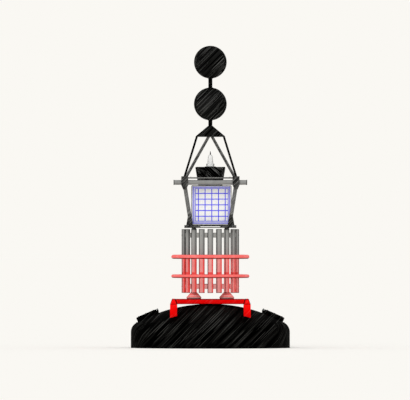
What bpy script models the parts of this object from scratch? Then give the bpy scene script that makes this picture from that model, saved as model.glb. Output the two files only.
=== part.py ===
"""A steel navigation buoy of 3 m float diameter. +Z is up, with the origin at the waterline, in metres.

The front faces -Y and +X is to the right. Heights are above the waterline.
"""

import math

import bmesh
import bpy
from mathutils import Matrix, Vector

FULL_TURN = 2 * math.pi
DIAGONAL_SHARE = math.sqrt(2)
SIDES = (-1, 1)

# Fits
GAP = 0.0003
OVERRUN = 0.05
WELD = 0.0000001

# Float
FLOAT_RADIUS = 1.5
DOME_RADIUS = 2.92
DOME_TOP = 0.829
SHOULDER_FILLET = 0.2
SIDE_DEPTH = 0.3
CHINE_WIDTH = 0.1
CHINE_DROP = 0.1
BOTTOM_DEPTH = 0.65
BOTTOM_FLAT_RADIUS = 0.3
FLOAT_STEPS = 64
DOME_STEPS = 7
FILLET_STEPS = 4

# Tail tube and ballast
TAIL_RADIUS = 0.2
TAIL_LENGTH = 1.1
TAIL_FLANGE_RADIUS = 0.27
TAIL_FLANGE_THICKNESS = 0.03
BALLAST_RADIUS = 0.4
BALLAST_HEIGHT = 0.3
BALLAST_CHAMFER = 0.05
TAIL_STEPS = 32

# Mooring eyes
EYE_OFFSET = 0.95
EYE_THICKNESS = 0.04
EYE_RADIUS = 0.08
EYE_HOLE_RADIUS = 0.035
EYE_DROP = 0.12
EYE_ARC_STEPS = 10
EYE_HOLE_STEPS = 20

# Battery pockets, in their own frame: u down the deck, v along Y, n square to the deck
POCKET_INSET = 0.3357
POCKET_OFFSET = 0.022
COAMING_RADIUS = 0.205
COAMING_WALL = 0.03
COAMING_HEIGHT = 0.055
LID_THICKNESS = 0.018
LID_CROWN = 0.006
LID_CROWN_WIDTH = 0.06
HINGE_REACH = 0.022
HINGE_RADIUS = 0.015
PIN_RADIUS = 0.007
PIN_CLEARANCE = 0.0006
PIN_HEAD_RADIUS = 0.012
PIN_HEAD_THICKNESS = 0.006
KNUCKLE_WIDTH = 0.1
EAR_WIDTH = 0.025
EAR_CLEARANCE = 0.001
EAR_SKIRT = 0.02
POCKET_STEPS = 40
HINGE_STEPS = 16

# Base frame, whose underside lies just below the top of the dome
RAIL_OFFSET = 0.6925
RAIL_WIDTH = 0.133
RAIL_TOP_WIDTH = 0.064
BASE_SINK = 0.003
BASE_HEIGHT = 0.095
BASE_BOTTOM = DOME_TOP - BASE_SINK
BASE_TOP = BASE_BOTTOM + BASE_HEIGHT
LEG_SPREAD = 0.86
LEG_LENGTH = 0.133
BEAM_WIDTH = 0.27

# Tower posts and their feet
POST_OFFSET = 0.31
POST_RADIUS = 0.045
FOOT_BOTTOM_RADIUS = 0.132
FOOT_WIDEST_RADIUS = 0.141
FOOT_TOP_RADIUS = 0.058
FOOT_FLARE = 0.03
FOOT_HEIGHT = 0.125
POST_STEPS = 16

# Daymark
SLAT_COUNT = 20
QUARTERS = 4
SLAT_WIDTH = 0.106
SLAT_THICKNESS = 0.033
CAGE_RADIUS = 0.541
CAGE_RISE = 0.117
CAGE_HEIGHT = 1.2
CAGE_BOTTOM = BASE_TOP + CAGE_RISE
CAGE_TOP = CAGE_BOTTOM + CAGE_HEIGHT
HOOP_THICKNESS = 0.036
HOOP_HEIGHT = 0.089
LOWER_HOOP_RISE = 0.077
UPPER_HOOP_DROP = 0.157
HOOP_STEPS = 10

# Ring rails
RING_REACH = 0.737
UPPER_RING_TUBE = 0.078
UPPER_RING_RISE = 0.68
LOWER_RING_TUBE = 0.066
LOWER_RING_RISE = 0.314
ARM_WIDTH = 0.04
ARM_HEIGHT = 0.034
RING_STEPS = 52
RING_TUBE_STEPS = 8

# Platform, with a sill under each panel
PLATFORM_HALF = 0.49
PLATFORM_RISE = 0.025
PLATFORM_THICKNESS = 0.044
PLATFORM_BOTTOM = CAGE_TOP + PLATFORM_RISE
PLATFORM_TOP = PLATFORM_BOTTOM + PLATFORM_THICKNESS
PLATFORM_PLATE = 0.014
PLATFORM_SLOT_HALF = 0.187
SILL_HEIGHT = 0.008

# Upper legs, brackets, rail tubes and ties
LEG_FOOT_OFFSET = 0.3624
LEG_HEAD_OFFSET = 0.4841
UPPER_LEG_RADIUS = 0.037
UPPER_LEG_STEPS = 16
GUSSET_THICKNESS = 0.012
GUSSET_OUTSET = 0.0126
GUSSET_INNER_WIDTH = 0.0424
GUSSET_OUTER_WIDTH = 0.0926
GUSSET_APEX_OFFSET = 0.0576
GUSSET_HEIGHT = 0.21
RAIL_TUBE_RADIUS = 0.045
RAIL_TUBE_RISE = 0.814
RAIL_TUBE_HEIGHT = PLATFORM_TOP + RAIL_TUBE_RISE
BRACKET_WIDTH = 0.13
RAIL_TUBE_OVERHANG = 0.1439
RAIL_TUBE_HALF = LEG_HEAD_OFFSET + BRACKET_WIDTH / 2 + RAIL_TUBE_OVERHANG
BRACKET_RISE = 0.115
BRACKET_DROP = 0.051
BRACKET_POINT_HEIGHT = 0.08
BRACKET_POINT_WIDTH = 0.06
BRACKET_TOP = RAIL_TUBE_HEIGHT + BRACKET_RISE
BRACKET_TIP = RAIL_TUBE_HEIGHT - BRACKET_DROP - BRACKET_POINT_HEIGHT
RAIL_CAP_RADIUS = 0.048
RAIL_CAP_THICKNESS = 0.014
RAIL_TUBE_STEPS = 20
TIE_RADIUS = 0.03
TIE_STEPS = 12

# Solar panels
PANEL_WIDTH = 0.758
PANEL_HEIGHT = 0.751
PANEL_THICKNESS = 0.035
PANEL_OFFSET = 0.28
PANEL_SHIFT = 0.02
PANEL_FRAME = 0.028
PANEL_RECESS = 0.004

# Lantern, whose housing drops through the plate, and whose lens is held by clips
PLATE_RISE = 0.072
PLATE_THICKNESS = 0.026
PLATE_BOTTOM = RAIL_TUBE_HEIGHT + PLATE_RISE
PLATE_TOP = PLATE_BOTTOM + PLATE_THICKNESS
PLATE_DEPTH_HALF = 0.52
HOUSING_RISE = 0.195
HOUSING_DROP = 0.127
HOUSING_TOP = PLATE_TOP + HOUSING_RISE
HOUSING_BOTTOM = PLATE_BOTTOM - HOUSING_DROP
HOUSING_BOTTOM_RADIUS = 0.229
HOUSING_TOP_RADIUS = 0.286
HOUSING_LIP = 0.012
BOSS_RADIUS = 0.104
BOSS_HEIGHT = 0.008
HOUSING_STEPS = 40
LENS_BASE_RADIUS = 0.072
LENS_BASE_HEIGHT = 0.014
LENS_RADIUS = 0.0595
LENS_SHOULDER_HEIGHT = 0.183
LENS_SHOULDER_RADIUS = 0.042
LENS_HEIGHT = 0.211
LENS_RIBS = 5
LENS_RIB_DEPTH = 0.003
CLIP_COUNT = 4
CLIP_WIDTH = 0.022
CLIP_THICKNESS = 0.01
CLIP_HEIGHT = 0.04
SPIKE_ROOT_RADIUS = 0.012
SPIKE_RADIUS = 0.005
SPIKE_LENGTH = 0.06
LENS_STEPS = 24

# Topmark
CAP_RISE = 0.744
CAP_HEIGHT = 0.21
CAP_BOTTOM = BRACKET_TOP + CAP_RISE
CAP_TOP = CAP_BOTTOM + CAP_HEIGHT
CAP_LIP = 0.012
CAP_FRONT_HALF = 0.277
CAP_FRONT = 0.19
CAP_CORNER = 0.06
CAP_REAR = 0.33
CAP_REAR_HALF = 0.055
CAP_CROWN_RADIUS = 0.04
FRONT_BAR_RADIUS = 0.021
FRONT_BAR_TOP = (0.256, 0.16)
REAR_BAR_RADIUS = 0.031
REAR_BAR_TOP = (0.036, 0.297)
REAR_BAR_STANCE = 0.451
BAR_STEPS = 10
MAST_RADIUS = 0.038
MAST_STEPS = 16
BALL_RADIUS = 0.309
LOWER_BALL_RISE = 0.412
BALL_SPACING = 0.788
LOWER_BALL_HEIGHT = CAP_TOP + LOWER_BALL_RISE
UPPER_BALL_HEIGHT = LOWER_BALL_HEIGHT + BALL_SPACING
BALL_STEPS = 32
BALL_ARC_STEPS = 16

BLACK = ("black_enamel", (0.012, 0.012, 0.012), 0.45, 0.0)
RED = ("red_enamel", (0.8, 0.01, 0.01), 0.45, 0.0)
PALE_RED = ("pale_red_enamel", (0.9, 0.16, 0.15), 0.5, 0.0)
GREY = ("grey_enamel", (0.22, 0.22, 0.21), 0.5, 0.0)
DARK_GREY = ("dark_grey_enamel", (0.07, 0.07, 0.07), 0.5, 0.0)
GALVANISED = ("galvanised_steel", (0.4, 0.41, 0.42), 0.4, 1.0)
IRON = ("cast_iron", (0.06, 0.06, 0.06), 0.7, 0.6)
PANEL = ("solar_laminate", (0.75, 0.75, 0.9), 0.2, 0.0)
LENS = ("clear_acrylic", (0.9, 0.92, 0.92), 0.08, 0.0)


def clear_scene():
    for thing in list(bpy.data.objects):
        bpy.data.objects.remove(thing, do_unlink=True)


def paint(finish):
    name, colour, roughness, metallic = finish
    found = bpy.data.materials.get(name)
    if found:
        return found
    made = bpy.data.materials.new(name)
    made.use_nodes = True
    shader = made.node_tree.nodes["Principled BSDF"]
    shader.inputs["Base Color"].default_value = (*colour, 1)
    shader.inputs["Roughness"].default_value = roughness
    shader.inputs["Metallic"].default_value = metallic
    made.diffuse_color = (*colour, 1)
    return made


def add(name, shape, finish, matrix=None):
    """Makes an object of a bmesh, shaded smooth up to 35 degrees."""
    bmesh.ops.remove_doubles(shape, verts=shape.verts, dist=WELD)
    bmesh.ops.recalc_face_normals(shape, faces=shape.faces)
    mesh = bpy.data.meshes.new(name)
    shape.to_mesh(mesh)
    shape.free()
    mesh.shade_smooth()
    mesh.set_sharp_from_angle(angle=math.radians(35))
    mesh.materials.append(paint(finish))
    made = bpy.data.objects.new(name, mesh)
    bpy.context.scene.collection.objects.link(made)
    if matrix is not None:
        made.matrix_world = matrix
    return made


def helper(name, shape, matrix=None):
    """A cutter, or a shape to be joined, that isn't a piece itself."""
    made = add(name, shape, DARK_GREY, matrix)
    made.hide_render = True
    made.display_type = "WIRE"
    return made


def combine(target, other, operation):
    modifier = target.modifiers.new(f"{operation.lower()} {other.name}", "BOOLEAN")
    modifier.operation = operation
    modifier.solver = "EXACT"
    modifier.object = other


def cut(target, *others):
    for other in others:
        combine(target, other, "DIFFERENCE")


def join(target, *others):
    for other in others:
        combine(target, other, "UNION")


def turned(profile, steps, closed=False):
    """A body of revolution about Z from (radius, height) points, from axis to axis unless closed."""
    shape = bmesh.new()
    points = [shape.verts.new((radius, 0, height)) for radius, height in profile]
    pairs = list(zip(points, points[1:]))
    if closed:
        pairs.append((points[-1], points[0]))
    edges = [shape.edges.new(pair) for pair in pairs]
    bmesh.ops.spin(
        shape,
        geom=points + edges,
        cent=(0, 0, 0),
        axis=(0, 0, 1),
        angle=FULL_TURN,
        steps=steps,
        use_merge=True,
    )
    return shape


def prism(outline, low, high):
    """Extrudes an outline of (x, z) points along Y, from low to high."""
    shape = bmesh.new()
    face = shape.faces.new([shape.verts.new((x, low, z)) for x, z in outline])
    moved = bmesh.ops.extrude_face_region(shape, geom=[face])["geom"]
    corners = [item for item in moved if isinstance(item, bmesh.types.BMVert)]
    bmesh.ops.translate(shape, verts=corners, vec=(0, high - low, 0))
    return shape


def slab(outline, low, high):
    """Extrudes an outline of (x, y) points along Z, from low to high."""
    shape = bmesh.new()
    face = shape.faces.new([shape.verts.new((x, y, low)) for x, y in outline])
    moved = bmesh.ops.extrude_face_region(shape, geom=[face])["geom"]
    corners = [item for item in moved if isinstance(item, bmesh.types.BMVert)]
    bmesh.ops.translate(shape, verts=corners, vec=(0, 0, high - low))
    return shape


def rectangle(low_x, high_x, low_y, high_y):
    return [(low_x, low_y), (high_x, low_y), (high_x, high_y), (low_x, high_y)]


def block(low_x, high_x, low_y, high_y, low_z, high_z):
    return slab(rectangle(low_x, high_x, low_y, high_y), low_z, high_z)


def rod(radius, low, high, steps):
    """An upright round bar about the Z axis."""
    return turned([(0, high), (radius, high), (radius, low), (0, low)], steps)


def leaning_bar(foot, head, radius, steps):
    """A bar whose ends are level circles at foot and head, so that both seat flat."""
    shape = bmesh.new()
    rings = []
    for centre in (foot, head):
        ring = []
        for step in range(steps):
            angle = FULL_TURN * step / steps
            offset = Vector((radius * math.cos(angle), radius * math.sin(angle), 0))
            ring.append(shape.verts.new(Vector(centre) + offset))
        rings.append(ring)
    shape.faces.new(rings[0])
    shape.faces.new(rings[1])
    for step in range(steps):
        after = (step + 1) % steps
        shape.faces.new((rings[0][step], rings[0][after], rings[1][after], rings[1][step]))
    return shape


def along_x(centre=(0, 0, 0)):
    return Matrix.Translation(centre) @ Matrix.Rotation(math.pi / 2, 4, "Y")


def along_y(centre=(0, 0, 0)):
    return Matrix.Translation(centre) @ Matrix.Rotation(-math.pi / 2, 4, "X")


def side_name(side):
    return "right" if side > 0 else "left"


def end_name(end):
    return "rear" if end > 0 else "front"


def float_profile(grown=0.0):
    """Dome, rounded shoulder, upright side, chine and coned bottom, from the top down."""
    dome = DOME_RADIUS + grown
    reach = FLOAT_RADIUS + grown
    fillet = SHOULDER_FILLET + grown
    centre = DOME_TOP - DOME_RADIUS
    inner = reach - fillet
    fillet_height = centre + math.sqrt((dome - fillet) ** 2 - inner**2)
    turn = math.asin(inner / (dome - fillet))
    points = []
    for step in range(DOME_STEPS + 1):
        angle = turn * step / DOME_STEPS
        points.append((dome * math.sin(angle), centre + dome * math.cos(angle)))
    for step in range(1, FILLET_STEPS + 1):
        angle = turn + (math.pi / 2 - turn) * step / FILLET_STEPS
        points.append((inner + fillet * math.sin(angle), fillet_height + fillet * math.cos(angle)))
    points.append((reach, -SIDE_DEPTH - grown))
    points.append((reach - CHINE_WIDTH, -SIDE_DEPTH - CHINE_DROP - grown))
    points.append((BOTTOM_FLAT_RADIUS, -BOTTOM_DEPTH - grown))
    points.append((0, -BOTTOM_DEPTH - grown))
    return points


def make_float():
    add("float_hull", turned(float_profile(), FLOAT_STEPS), BLACK)
    seat = helper("float_seat", turned(float_profile(GAP), FLOAT_STEPS))
    top = -BOTTOM_DEPTH - GAP
    low = top - TAIL_LENGTH
    tail = [
        (0, top),
        (TAIL_FLANGE_RADIUS, top),
        (TAIL_FLANGE_RADIUS, top - TAIL_FLANGE_THICKNESS),
        (TAIL_RADIUS, top - TAIL_FLANGE_THICKNESS),
        (TAIL_RADIUS, low),
        (0, low),
    ]
    add("tail_tube", turned(tail, TAIL_STEPS), BLACK)
    high = low - GAP
    low = high - BALLAST_HEIGHT
    ballast = [
        (0, high),
        (BALLAST_RADIUS - BALLAST_CHAMFER, high),
        (BALLAST_RADIUS, high - BALLAST_CHAMFER),
        (BALLAST_RADIUS, low + BALLAST_CHAMFER),
        (BALLAST_RADIUS - BALLAST_CHAMFER, low),
        (0, low),
    ]
    add("ballast_weight", turned(ballast, TAIL_STEPS), IRON)
    return seat


def make_mooring_eyes(seat):
    """Upright plates welded under the coned bottom, each with a hole for a shackle."""
    reach = FLOAT_RADIUS - CHINE_WIDTH
    cone_rise = (BOTTOM_DEPTH - SIDE_DEPTH - CHINE_DROP) / (reach - BOTTOM_FLAT_RADIUS)
    deck = -SIDE_DEPTH - CHINE_DROP - (reach - EYE_OFFSET) * cone_rise
    centre = deck - EYE_DROP
    outline = [(EYE_RADIUS, deck + OVERRUN), (-EYE_RADIUS, deck + OVERRUN)]
    for step in range(EYE_ARC_STEPS + 1):
        angle = math.pi * (1 + step / EYE_ARC_STEPS)
        outline.append((EYE_RADIUS * math.cos(angle), centre + EYE_RADIUS * math.sin(angle)))
    half = EYE_THICKNESS / 2
    for side in SIDES:
        name = f"mooring_eye_{side_name(side)}"
        place = Matrix.Translation((side * EYE_OFFSET, 0, 0))
        eye = add(name, prism(outline, -half, half), BLACK, place)
        bore = rod(EYE_HOLE_RADIUS, -half - OVERRUN, half + OVERRUN, EYE_HOLE_STEPS)
        hole = helper(f"{name}_hole", bore, along_y((side * EYE_OFFSET, 0, centre)))
        cut(eye, seat, hole)


def make_battery_pockets(seat):
    """A coaming on each shoulder, with a lid that opens inboard on a pin."""
    reach = FLOAT_RADIUS - POCKET_INSET
    tilt = math.asin(reach / DOME_RADIUS)
    deck = DOME_TOP - DOME_RADIUS * (1 - math.cos(tilt))
    inner = COAMING_RADIUS - COAMING_WALL
    hinge_u = POCKET_OFFSET - COAMING_RADIUS - HINGE_REACH
    lid_bottom = COAMING_HEIGHT + GAP
    hinge_n = lid_bottom + LID_THICKNESS / 2
    lid_top = lid_bottom + LID_THICKNESS
    half_knuckle = KNUCKLE_WIDTH / 2
    ear_low = half_knuckle + EAR_CLEARANCE
    ear_high = ear_low + EAR_WIDTH
    for side in SIDES:
        turn = Matrix.Rotation(0 if side > 0 else math.pi, 4, "Z")
        lean = Matrix.Rotation(tilt, 4, "Y")
        place = turn @ Matrix.Translation((reach, 0, deck)) @ lean
        centred = place @ Matrix.Translation((POCKET_OFFSET, 0, 0))
        label = side_name(side)

        wall = [
            (inner, COAMING_HEIGHT),
            (COAMING_RADIUS, COAMING_HEIGHT),
            (COAMING_RADIUS, -OVERRUN),
            (inner, -OVERRUN),
        ]
        coaming = add(f"pocket_coaming_{label}", turned(wall, POCKET_STEPS, closed=True), BLACK, centred)
        for end in SIDES:
            low, high = sorted((end * ear_low, end * ear_high))
            ear = [
                (hinge_u + HINGE_RADIUS * math.cos(angle), hinge_n + HINGE_RADIUS * math.sin(angle))
                for angle in (math.pi * step / (HINGE_STEPS / 2) for step in range(HINGE_STEPS // 2 + 1))
            ]
            ear.append((hinge_u - HINGE_RADIUS, hinge_n - HINGE_RADIUS - EAR_SKIRT))
            ear.append((hinge_u + HINGE_RADIUS, -OVERRUN))
            ear.append((hinge_u + HINGE_REACH + 2 * COAMING_WALL / 3, -OVERRUN))
            ear.append((hinge_u + HINGE_REACH + 2 * COAMING_WALL / 3, COAMING_HEIGHT - LID_THICKNESS / 2))
            ear.append((hinge_u + HINGE_RADIUS, COAMING_HEIGHT - LID_THICKNESS / 2))
            joined = helper(f"ear_{label}_{end_name(end)}", prism(ear, low, high), place)
            join(coaming, joined)
        bore_radius = PIN_RADIUS + PIN_CLEARANCE
        bore_shape = rod(bore_radius, -ear_high - OVERRUN, ear_high + OVERRUN, HINGE_STEPS)
        bore = helper(f"hinge_bore_{label}", bore_shape, place @ along_y((hinge_u, 0, hinge_n)))
        cut(coaming, bore, seat)

        cover = [
            (0, lid_top + LID_CROWN),
            (COAMING_RADIUS - LID_CROWN_WIDTH, lid_top + LID_CROWN),
            (COAMING_RADIUS - LID_CROWN, lid_top),
            (COAMING_RADIUS, lid_top - LID_CROWN),
            (COAMING_RADIUS, lid_bottom),
            (0, lid_bottom),
        ]
        lid = add(f"pocket_lid_{label}", turned(cover, POCKET_STEPS), BLACK, centred)
        barrel_shape = rod(HINGE_RADIUS, -half_knuckle, half_knuckle, HINGE_STEPS)
        barrel = helper(f"lid_barrel_{label}", barrel_shape, place @ along_y((hinge_u, 0, hinge_n)))
        web_end = hinge_u + HINGE_REACH + COAMING_WALL
        web_shape = block(hinge_u, web_end, -half_knuckle, half_knuckle, lid_bottom, lid_top - LID_CROWN)
        web = helper(f"lid_web_{label}", web_shape, place)
        join(lid, web, barrel)
        cut(lid, bore)

        head = ear_high + GAP
        pin_profile = [
            (0, head + PIN_HEAD_THICKNESS),
            (PIN_HEAD_RADIUS, head + PIN_HEAD_THICKNESS),
            (PIN_HEAD_RADIUS, head),
            (PIN_RADIUS, head),
            (PIN_RADIUS, -head),
            (PIN_HEAD_RADIUS, -head),
            (PIN_HEAD_RADIUS, -head - PIN_HEAD_THICKNESS),
            (0, -head - PIN_HEAD_THICKNESS),
        ]
        pin_place = place @ along_y((hinge_u, 0, hinge_n))
        add(f"lid_pin_{label}", turned(pin_profile, HINGE_STEPS), GALVANISED, pin_place)


def make_base_frame(seat):
    """Two fore-and-aft rails on four legs, and the cross beams that carry the tower's feet."""
    half = RAIL_WIDTH / 2
    top_half = RAIL_TOP_WIDTH / 2
    length_half = LEG_SPREAD + LEG_LENGTH / 2
    for side in SIDES:
        centre = side * RAIL_OFFSET
        outline = [
            (centre - half, BASE_BOTTOM),
            (centre + half, BASE_BOTTOM),
            (centre + top_half, BASE_TOP),
            (centre - top_half, BASE_TOP),
        ]
        add(f"base_rail_{side_name(side)}", prism(outline, -length_half, length_half), RED)
        for end in SIDES:
            middle = end * LEG_SPREAD
            shape = block(
                centre - half,
                centre + half,
                middle - LEG_LENGTH / 2,
                middle + LEG_LENGTH / 2,
                0,
                BASE_BOTTOM - GAP,
            )
            cut(add(f"base_leg_{end_name(end)}_{side_name(side)}", shape, RED), seat)
    low_reach = RAIL_OFFSET - half - GAP
    high_reach = RAIL_OFFSET - top_half - GAP
    outline = [
        (-low_reach, BASE_BOTTOM),
        (low_reach, BASE_BOTTOM),
        (high_reach, BASE_TOP),
        (-high_reach, BASE_TOP),
    ]
    for end in SIDES:
        middle = end * POST_OFFSET
        shape = prism(outline, middle - BEAM_WIDTH / 2, middle + BEAM_WIDTH / 2)
        add(f"cross_beam_{end_name(end)}", shape, RED)


def make_posts():
    """Round posts, each turned in one with its conical foot."""
    foot = BASE_TOP + GAP
    profile = [
        (0, PLATFORM_BOTTOM - GAP),
        (POST_RADIUS, PLATFORM_BOTTOM - GAP),
        (POST_RADIUS, foot + FOOT_HEIGHT),
        (FOOT_TOP_RADIUS, foot + FOOT_HEIGHT),
        (FOOT_WIDEST_RADIUS, foot + FOOT_FLARE),
        (FOOT_BOTTOM_RADIUS, foot),
        (0, foot),
    ]
    for side in SIDES:
        for end in SIDES:
            place = Matrix.Translation((side * POST_OFFSET, end * POST_OFFSET, 0))
            name = f"tower_post_{end_name(end)}_{side_name(side)}"
            add(name, turned(profile, POST_STEPS), PALE_RED, place)


def arc_slab(inner, outer, half_angle, low, high, steps):
    """A level ring segment about -Y, from low to high."""
    angles = [half_angle * (2 * step / steps - 1) for step in range(steps + 1)]
    outline = [(outer * math.sin(angle), -outer * math.cos(angle)) for angle in angles]
    outline += [(inner * math.sin(angle), -inner * math.cos(angle)) for angle in reversed(angles)]
    return slab(outline, low, high)


def merged(shapes):
    """One bmesh of several, which don't touch."""
    whole = bmesh.new()
    for shape in shapes:
        mesh = bpy.data.meshes.new("shape")
        shape.to_mesh(mesh)
        shape.free()
        whole.from_mesh(mesh)
        bpy.data.meshes.remove(mesh)
    return whole


def make_daymark():
    """Four quarters, each of five flat slats on two hoop segments whose ends meet at the posts."""
    inner = POST_OFFSET * DIAGONAL_SHARE + POST_RADIUS + GAP
    outer = inner + HOOP_THICKNESS
    half_angle = math.pi / QUARTERS - GAP / inner
    per_quarter = SLAT_COUNT // QUARTERS
    pitch = FULL_TURN / SLAT_COUNT
    half = SLAT_WIDTH / 2
    for quarter, name in enumerate(("front", "right", "rear", "left")):
        place = Matrix.Rotation(FULL_TURN * quarter / QUARTERS, 4, "Z")
        hoops = merged(
            arc_slab(inner, outer, half_angle, low, low + HOOP_HEIGHT, HOOP_STEPS)
            for low in (CAGE_BOTTOM + LOWER_HOOP_RISE, CAGE_TOP - UPPER_HOOP_DROP)
        )
        slats = []
        for index in range(per_quarter):
            slat = block(-half, half, -CAGE_RADIUS, SLAT_THICKNESS - CAGE_RADIUS, CAGE_BOTTOM, CAGE_TOP)
            angle = pitch * (index - (per_quarter - 1) / 2)
            bmesh.ops.rotate(slat, verts=slat.verts, matrix=Matrix.Rotation(angle, 3, "Z"))
            slats.append(slat)
        panel = add(f"daymark_{name}", merged(slats), GREY, place)
        join(panel, helper(f"hoops_{name}", hoops, place))


def make_ring_rails():
    """Round tubes outside the slats, each on four arms from the posts."""
    post_reach = POST_OFFSET * DIAGONAL_SHARE + POST_RADIUS + GAP
    half = ARM_WIDTH / 2
    rings = (
        ("upper", CAGE_BOTTOM + UPPER_RING_RISE, UPPER_RING_TUBE / 2),
        ("lower", CAGE_BOTTOM + LOWER_RING_RISE, LOWER_RING_TUBE / 2),
    )
    for name, height, tube in rings:
        centre = RING_REACH - tube
        profile = []
        for step in range(RING_TUBE_STEPS):
            angle = FULL_TURN * step / RING_TUBE_STEPS
            profile.append((centre + tube * math.cos(angle), height - tube * math.sin(angle)))
        ring = add(f"ring_rail_{name}", turned(profile, RING_STEPS, closed=True), PALE_RED)
        arms = []
        for corner in range(QUARTERS):
            arm = block(post_reach, centre, -half, half, height - ARM_HEIGHT / 2, height + ARM_HEIGHT / 2)
            angle = FULL_TURN * (corner + 1 / 2) / QUARTERS
            bmesh.ops.rotate(arm, verts=arm.verts, matrix=Matrix.Rotation(angle, 3, "Z"))
            arms.append(arm)
        join(ring, helper(f"arms_{name}", merged(arms)))


def make_platform():
    """Two square plates held apart at the corners, with slots through both ways and a sill for each panel."""
    half = PLATFORM_HALF
    near = PANEL_OFFSET
    far = PANEL_OFFSET + PANEL_THICKNESS
    sill = PLATFORM_TOP + SILL_HEIGHT
    edge = [(near, PLATFORM_TOP), (near, sill), (far, sill), (far, PLATFORM_TOP), (half, PLATFORM_TOP)]
    mirrored = [(-x, z) for x, z in reversed(edge)]
    outline = [(-half, PLATFORM_BOTTOM)] + mirrored + edge + [(half, PLATFORM_BOTTOM)]
    platform = add("platform", prism(outline, -half, half), GREY, Matrix.Rotation(math.pi / 2, 4, "Z"))
    low = PLATFORM_BOTTOM + PLATFORM_PLATE
    high = PLATFORM_TOP - PLATFORM_PLATE
    reach = half + OVERRUN
    slot = PLATFORM_SLOT_HALF
    cut(
        platform,
        helper("slot_across", block(-slot, slot, -reach, reach, low, high)),
        helper("slot_along", block(-reach, reach, -slot, slot, low, high)),
    )


def make_upper_legs():
    """Leaning tubes on the platform, with a gusset each way, up into the brackets."""
    foot = PLATFORM_TOP + GAP
    head = RAIL_TUBE_HEIGHT - RAIL_TUBE_RADIUS - GAP
    half = GUSSET_THICKNESS / 2
    for side in SIDES:
        for end in SIDES:
            name = f"upper_leg_{end_name(end)}_{side_name(side)}"
            start = (side * LEG_FOOT_OFFSET, end * LEG_FOOT_OFFSET, foot)
            stop = (side * LEG_HEAD_OFFSET, end * LEG_HEAD_OFFSET, head)
            leg = add(name, leaning_bar(start, stop, UPPER_LEG_RADIUS, UPPER_LEG_STEPS), GREY)
            outline = [
                (side * (LEG_FOOT_OFFSET - GUSSET_INNER_WIDTH), foot),
                (side * (LEG_FOOT_OFFSET + GUSSET_OUTER_WIDTH), foot),
                (side * (LEG_FOOT_OFFSET + GUSSET_APEX_OFFSET), foot + GUSSET_HEIGHT),
            ]
            plane = end * (LEG_FOOT_OFFSET + GUSSET_OUTSET)
            across = helper(f"{name}_gusset_across", prism(outline, plane - half, plane + half))
            swap = Matrix(((0, side * end, 0, 0), (side * end, 0, 0, 0), (0, 0, 1, 0), (0, 0, 0, 1)))
            along = helper(f"{name}_gusset_along", prism(outline, plane - half, plane + half), swap)
            join(leg, across, along)


def make_brackets():
    """Corner brackets with tapered lower ends, bored for the rail tube and for the leg below it."""
    half = BRACKET_WIDTH / 2
    reach = LEG_HEAD_OFFSET
    shoulder = BRACKET_TIP + BRACKET_POINT_HEIGHT
    outline_shape = [
        (-half, BRACKET_TOP),
        (half, BRACKET_TOP),
        (half, shoulder),
        (BRACKET_POINT_WIDTH / 2, BRACKET_TIP),
        (-BRACKET_POINT_WIDTH / 2, BRACKET_TIP),
        (-half, shoulder),
    ]
    lean = (LEG_HEAD_OFFSET - LEG_FOOT_OFFSET) / (RAIL_TUBE_HEIGHT - RAIL_TUBE_RADIUS - PLATFORM_TOP)
    bore_low = BRACKET_TIP - OVERRUN
    low_stance = LEG_HEAD_OFFSET - lean * (RAIL_TUBE_HEIGHT - RAIL_TUBE_RADIUS - bore_low)
    high_stance = LEG_HEAD_OFFSET + lean * RAIL_TUBE_RADIUS
    for end in SIDES:
        bore_shape = rod(RAIL_TUBE_RADIUS + GAP, -RAIL_TUBE_HALF, RAIL_TUBE_HALF, RAIL_TUBE_STEPS)
        place = along_x((0, end * reach, RAIL_TUBE_HEIGHT))
        rail_bore = helper(f"rail_bore_{end_name(end)}", bore_shape, place)
        for side in SIDES:
            name = f"corner_bracket_{end_name(end)}_{side_name(side)}"
            shape = prism(outline_shape, end * reach - half, end * reach + half)
            bracket = add(name, shape, DARK_GREY, Matrix.Translation((side * reach, 0, 0)))
            start = (side * low_stance, end * low_stance, bore_low)
            stop = (side * high_stance, end * high_stance, RAIL_TUBE_HEIGHT)
            leg_shape = leaning_bar(start, stop, UPPER_LEG_RADIUS + GAP, UPPER_LEG_STEPS)
            cut(bracket, rail_bore, helper(f"{name}_leg_bore", leg_shape))


def make_rail_tubes():
    reach = LEG_HEAD_OFFSET
    end_of_tube = RAIL_TUBE_HALF - RAIL_CAP_THICKNESS
    profile = [
        (0, RAIL_TUBE_HALF),
        (RAIL_CAP_RADIUS, RAIL_TUBE_HALF),
        (RAIL_CAP_RADIUS, end_of_tube),
        (RAIL_TUBE_RADIUS, end_of_tube),
        (RAIL_TUBE_RADIUS, -end_of_tube),
        (RAIL_CAP_RADIUS, -end_of_tube),
        (RAIL_CAP_RADIUS, -RAIL_TUBE_HALF),
        (0, -RAIL_TUBE_HALF),
    ]
    for end in SIDES:
        place = along_x((0, end * reach, RAIL_TUBE_HEIGHT))
        add(f"rail_tube_{end_name(end)}", turned(profile, RAIL_TUBE_STEPS), GREY, place)
    tie_half = reach - BRACKET_WIDTH / 2 - GAP
    for side in SIDES:
        place = along_y((side * reach, 0, RAIL_TUBE_HEIGHT))
        add(f"tie_tube_{side_name(side)}", rod(TIE_RADIUS, -tie_half, tie_half, TIE_STEPS), GREY, place)


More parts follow.
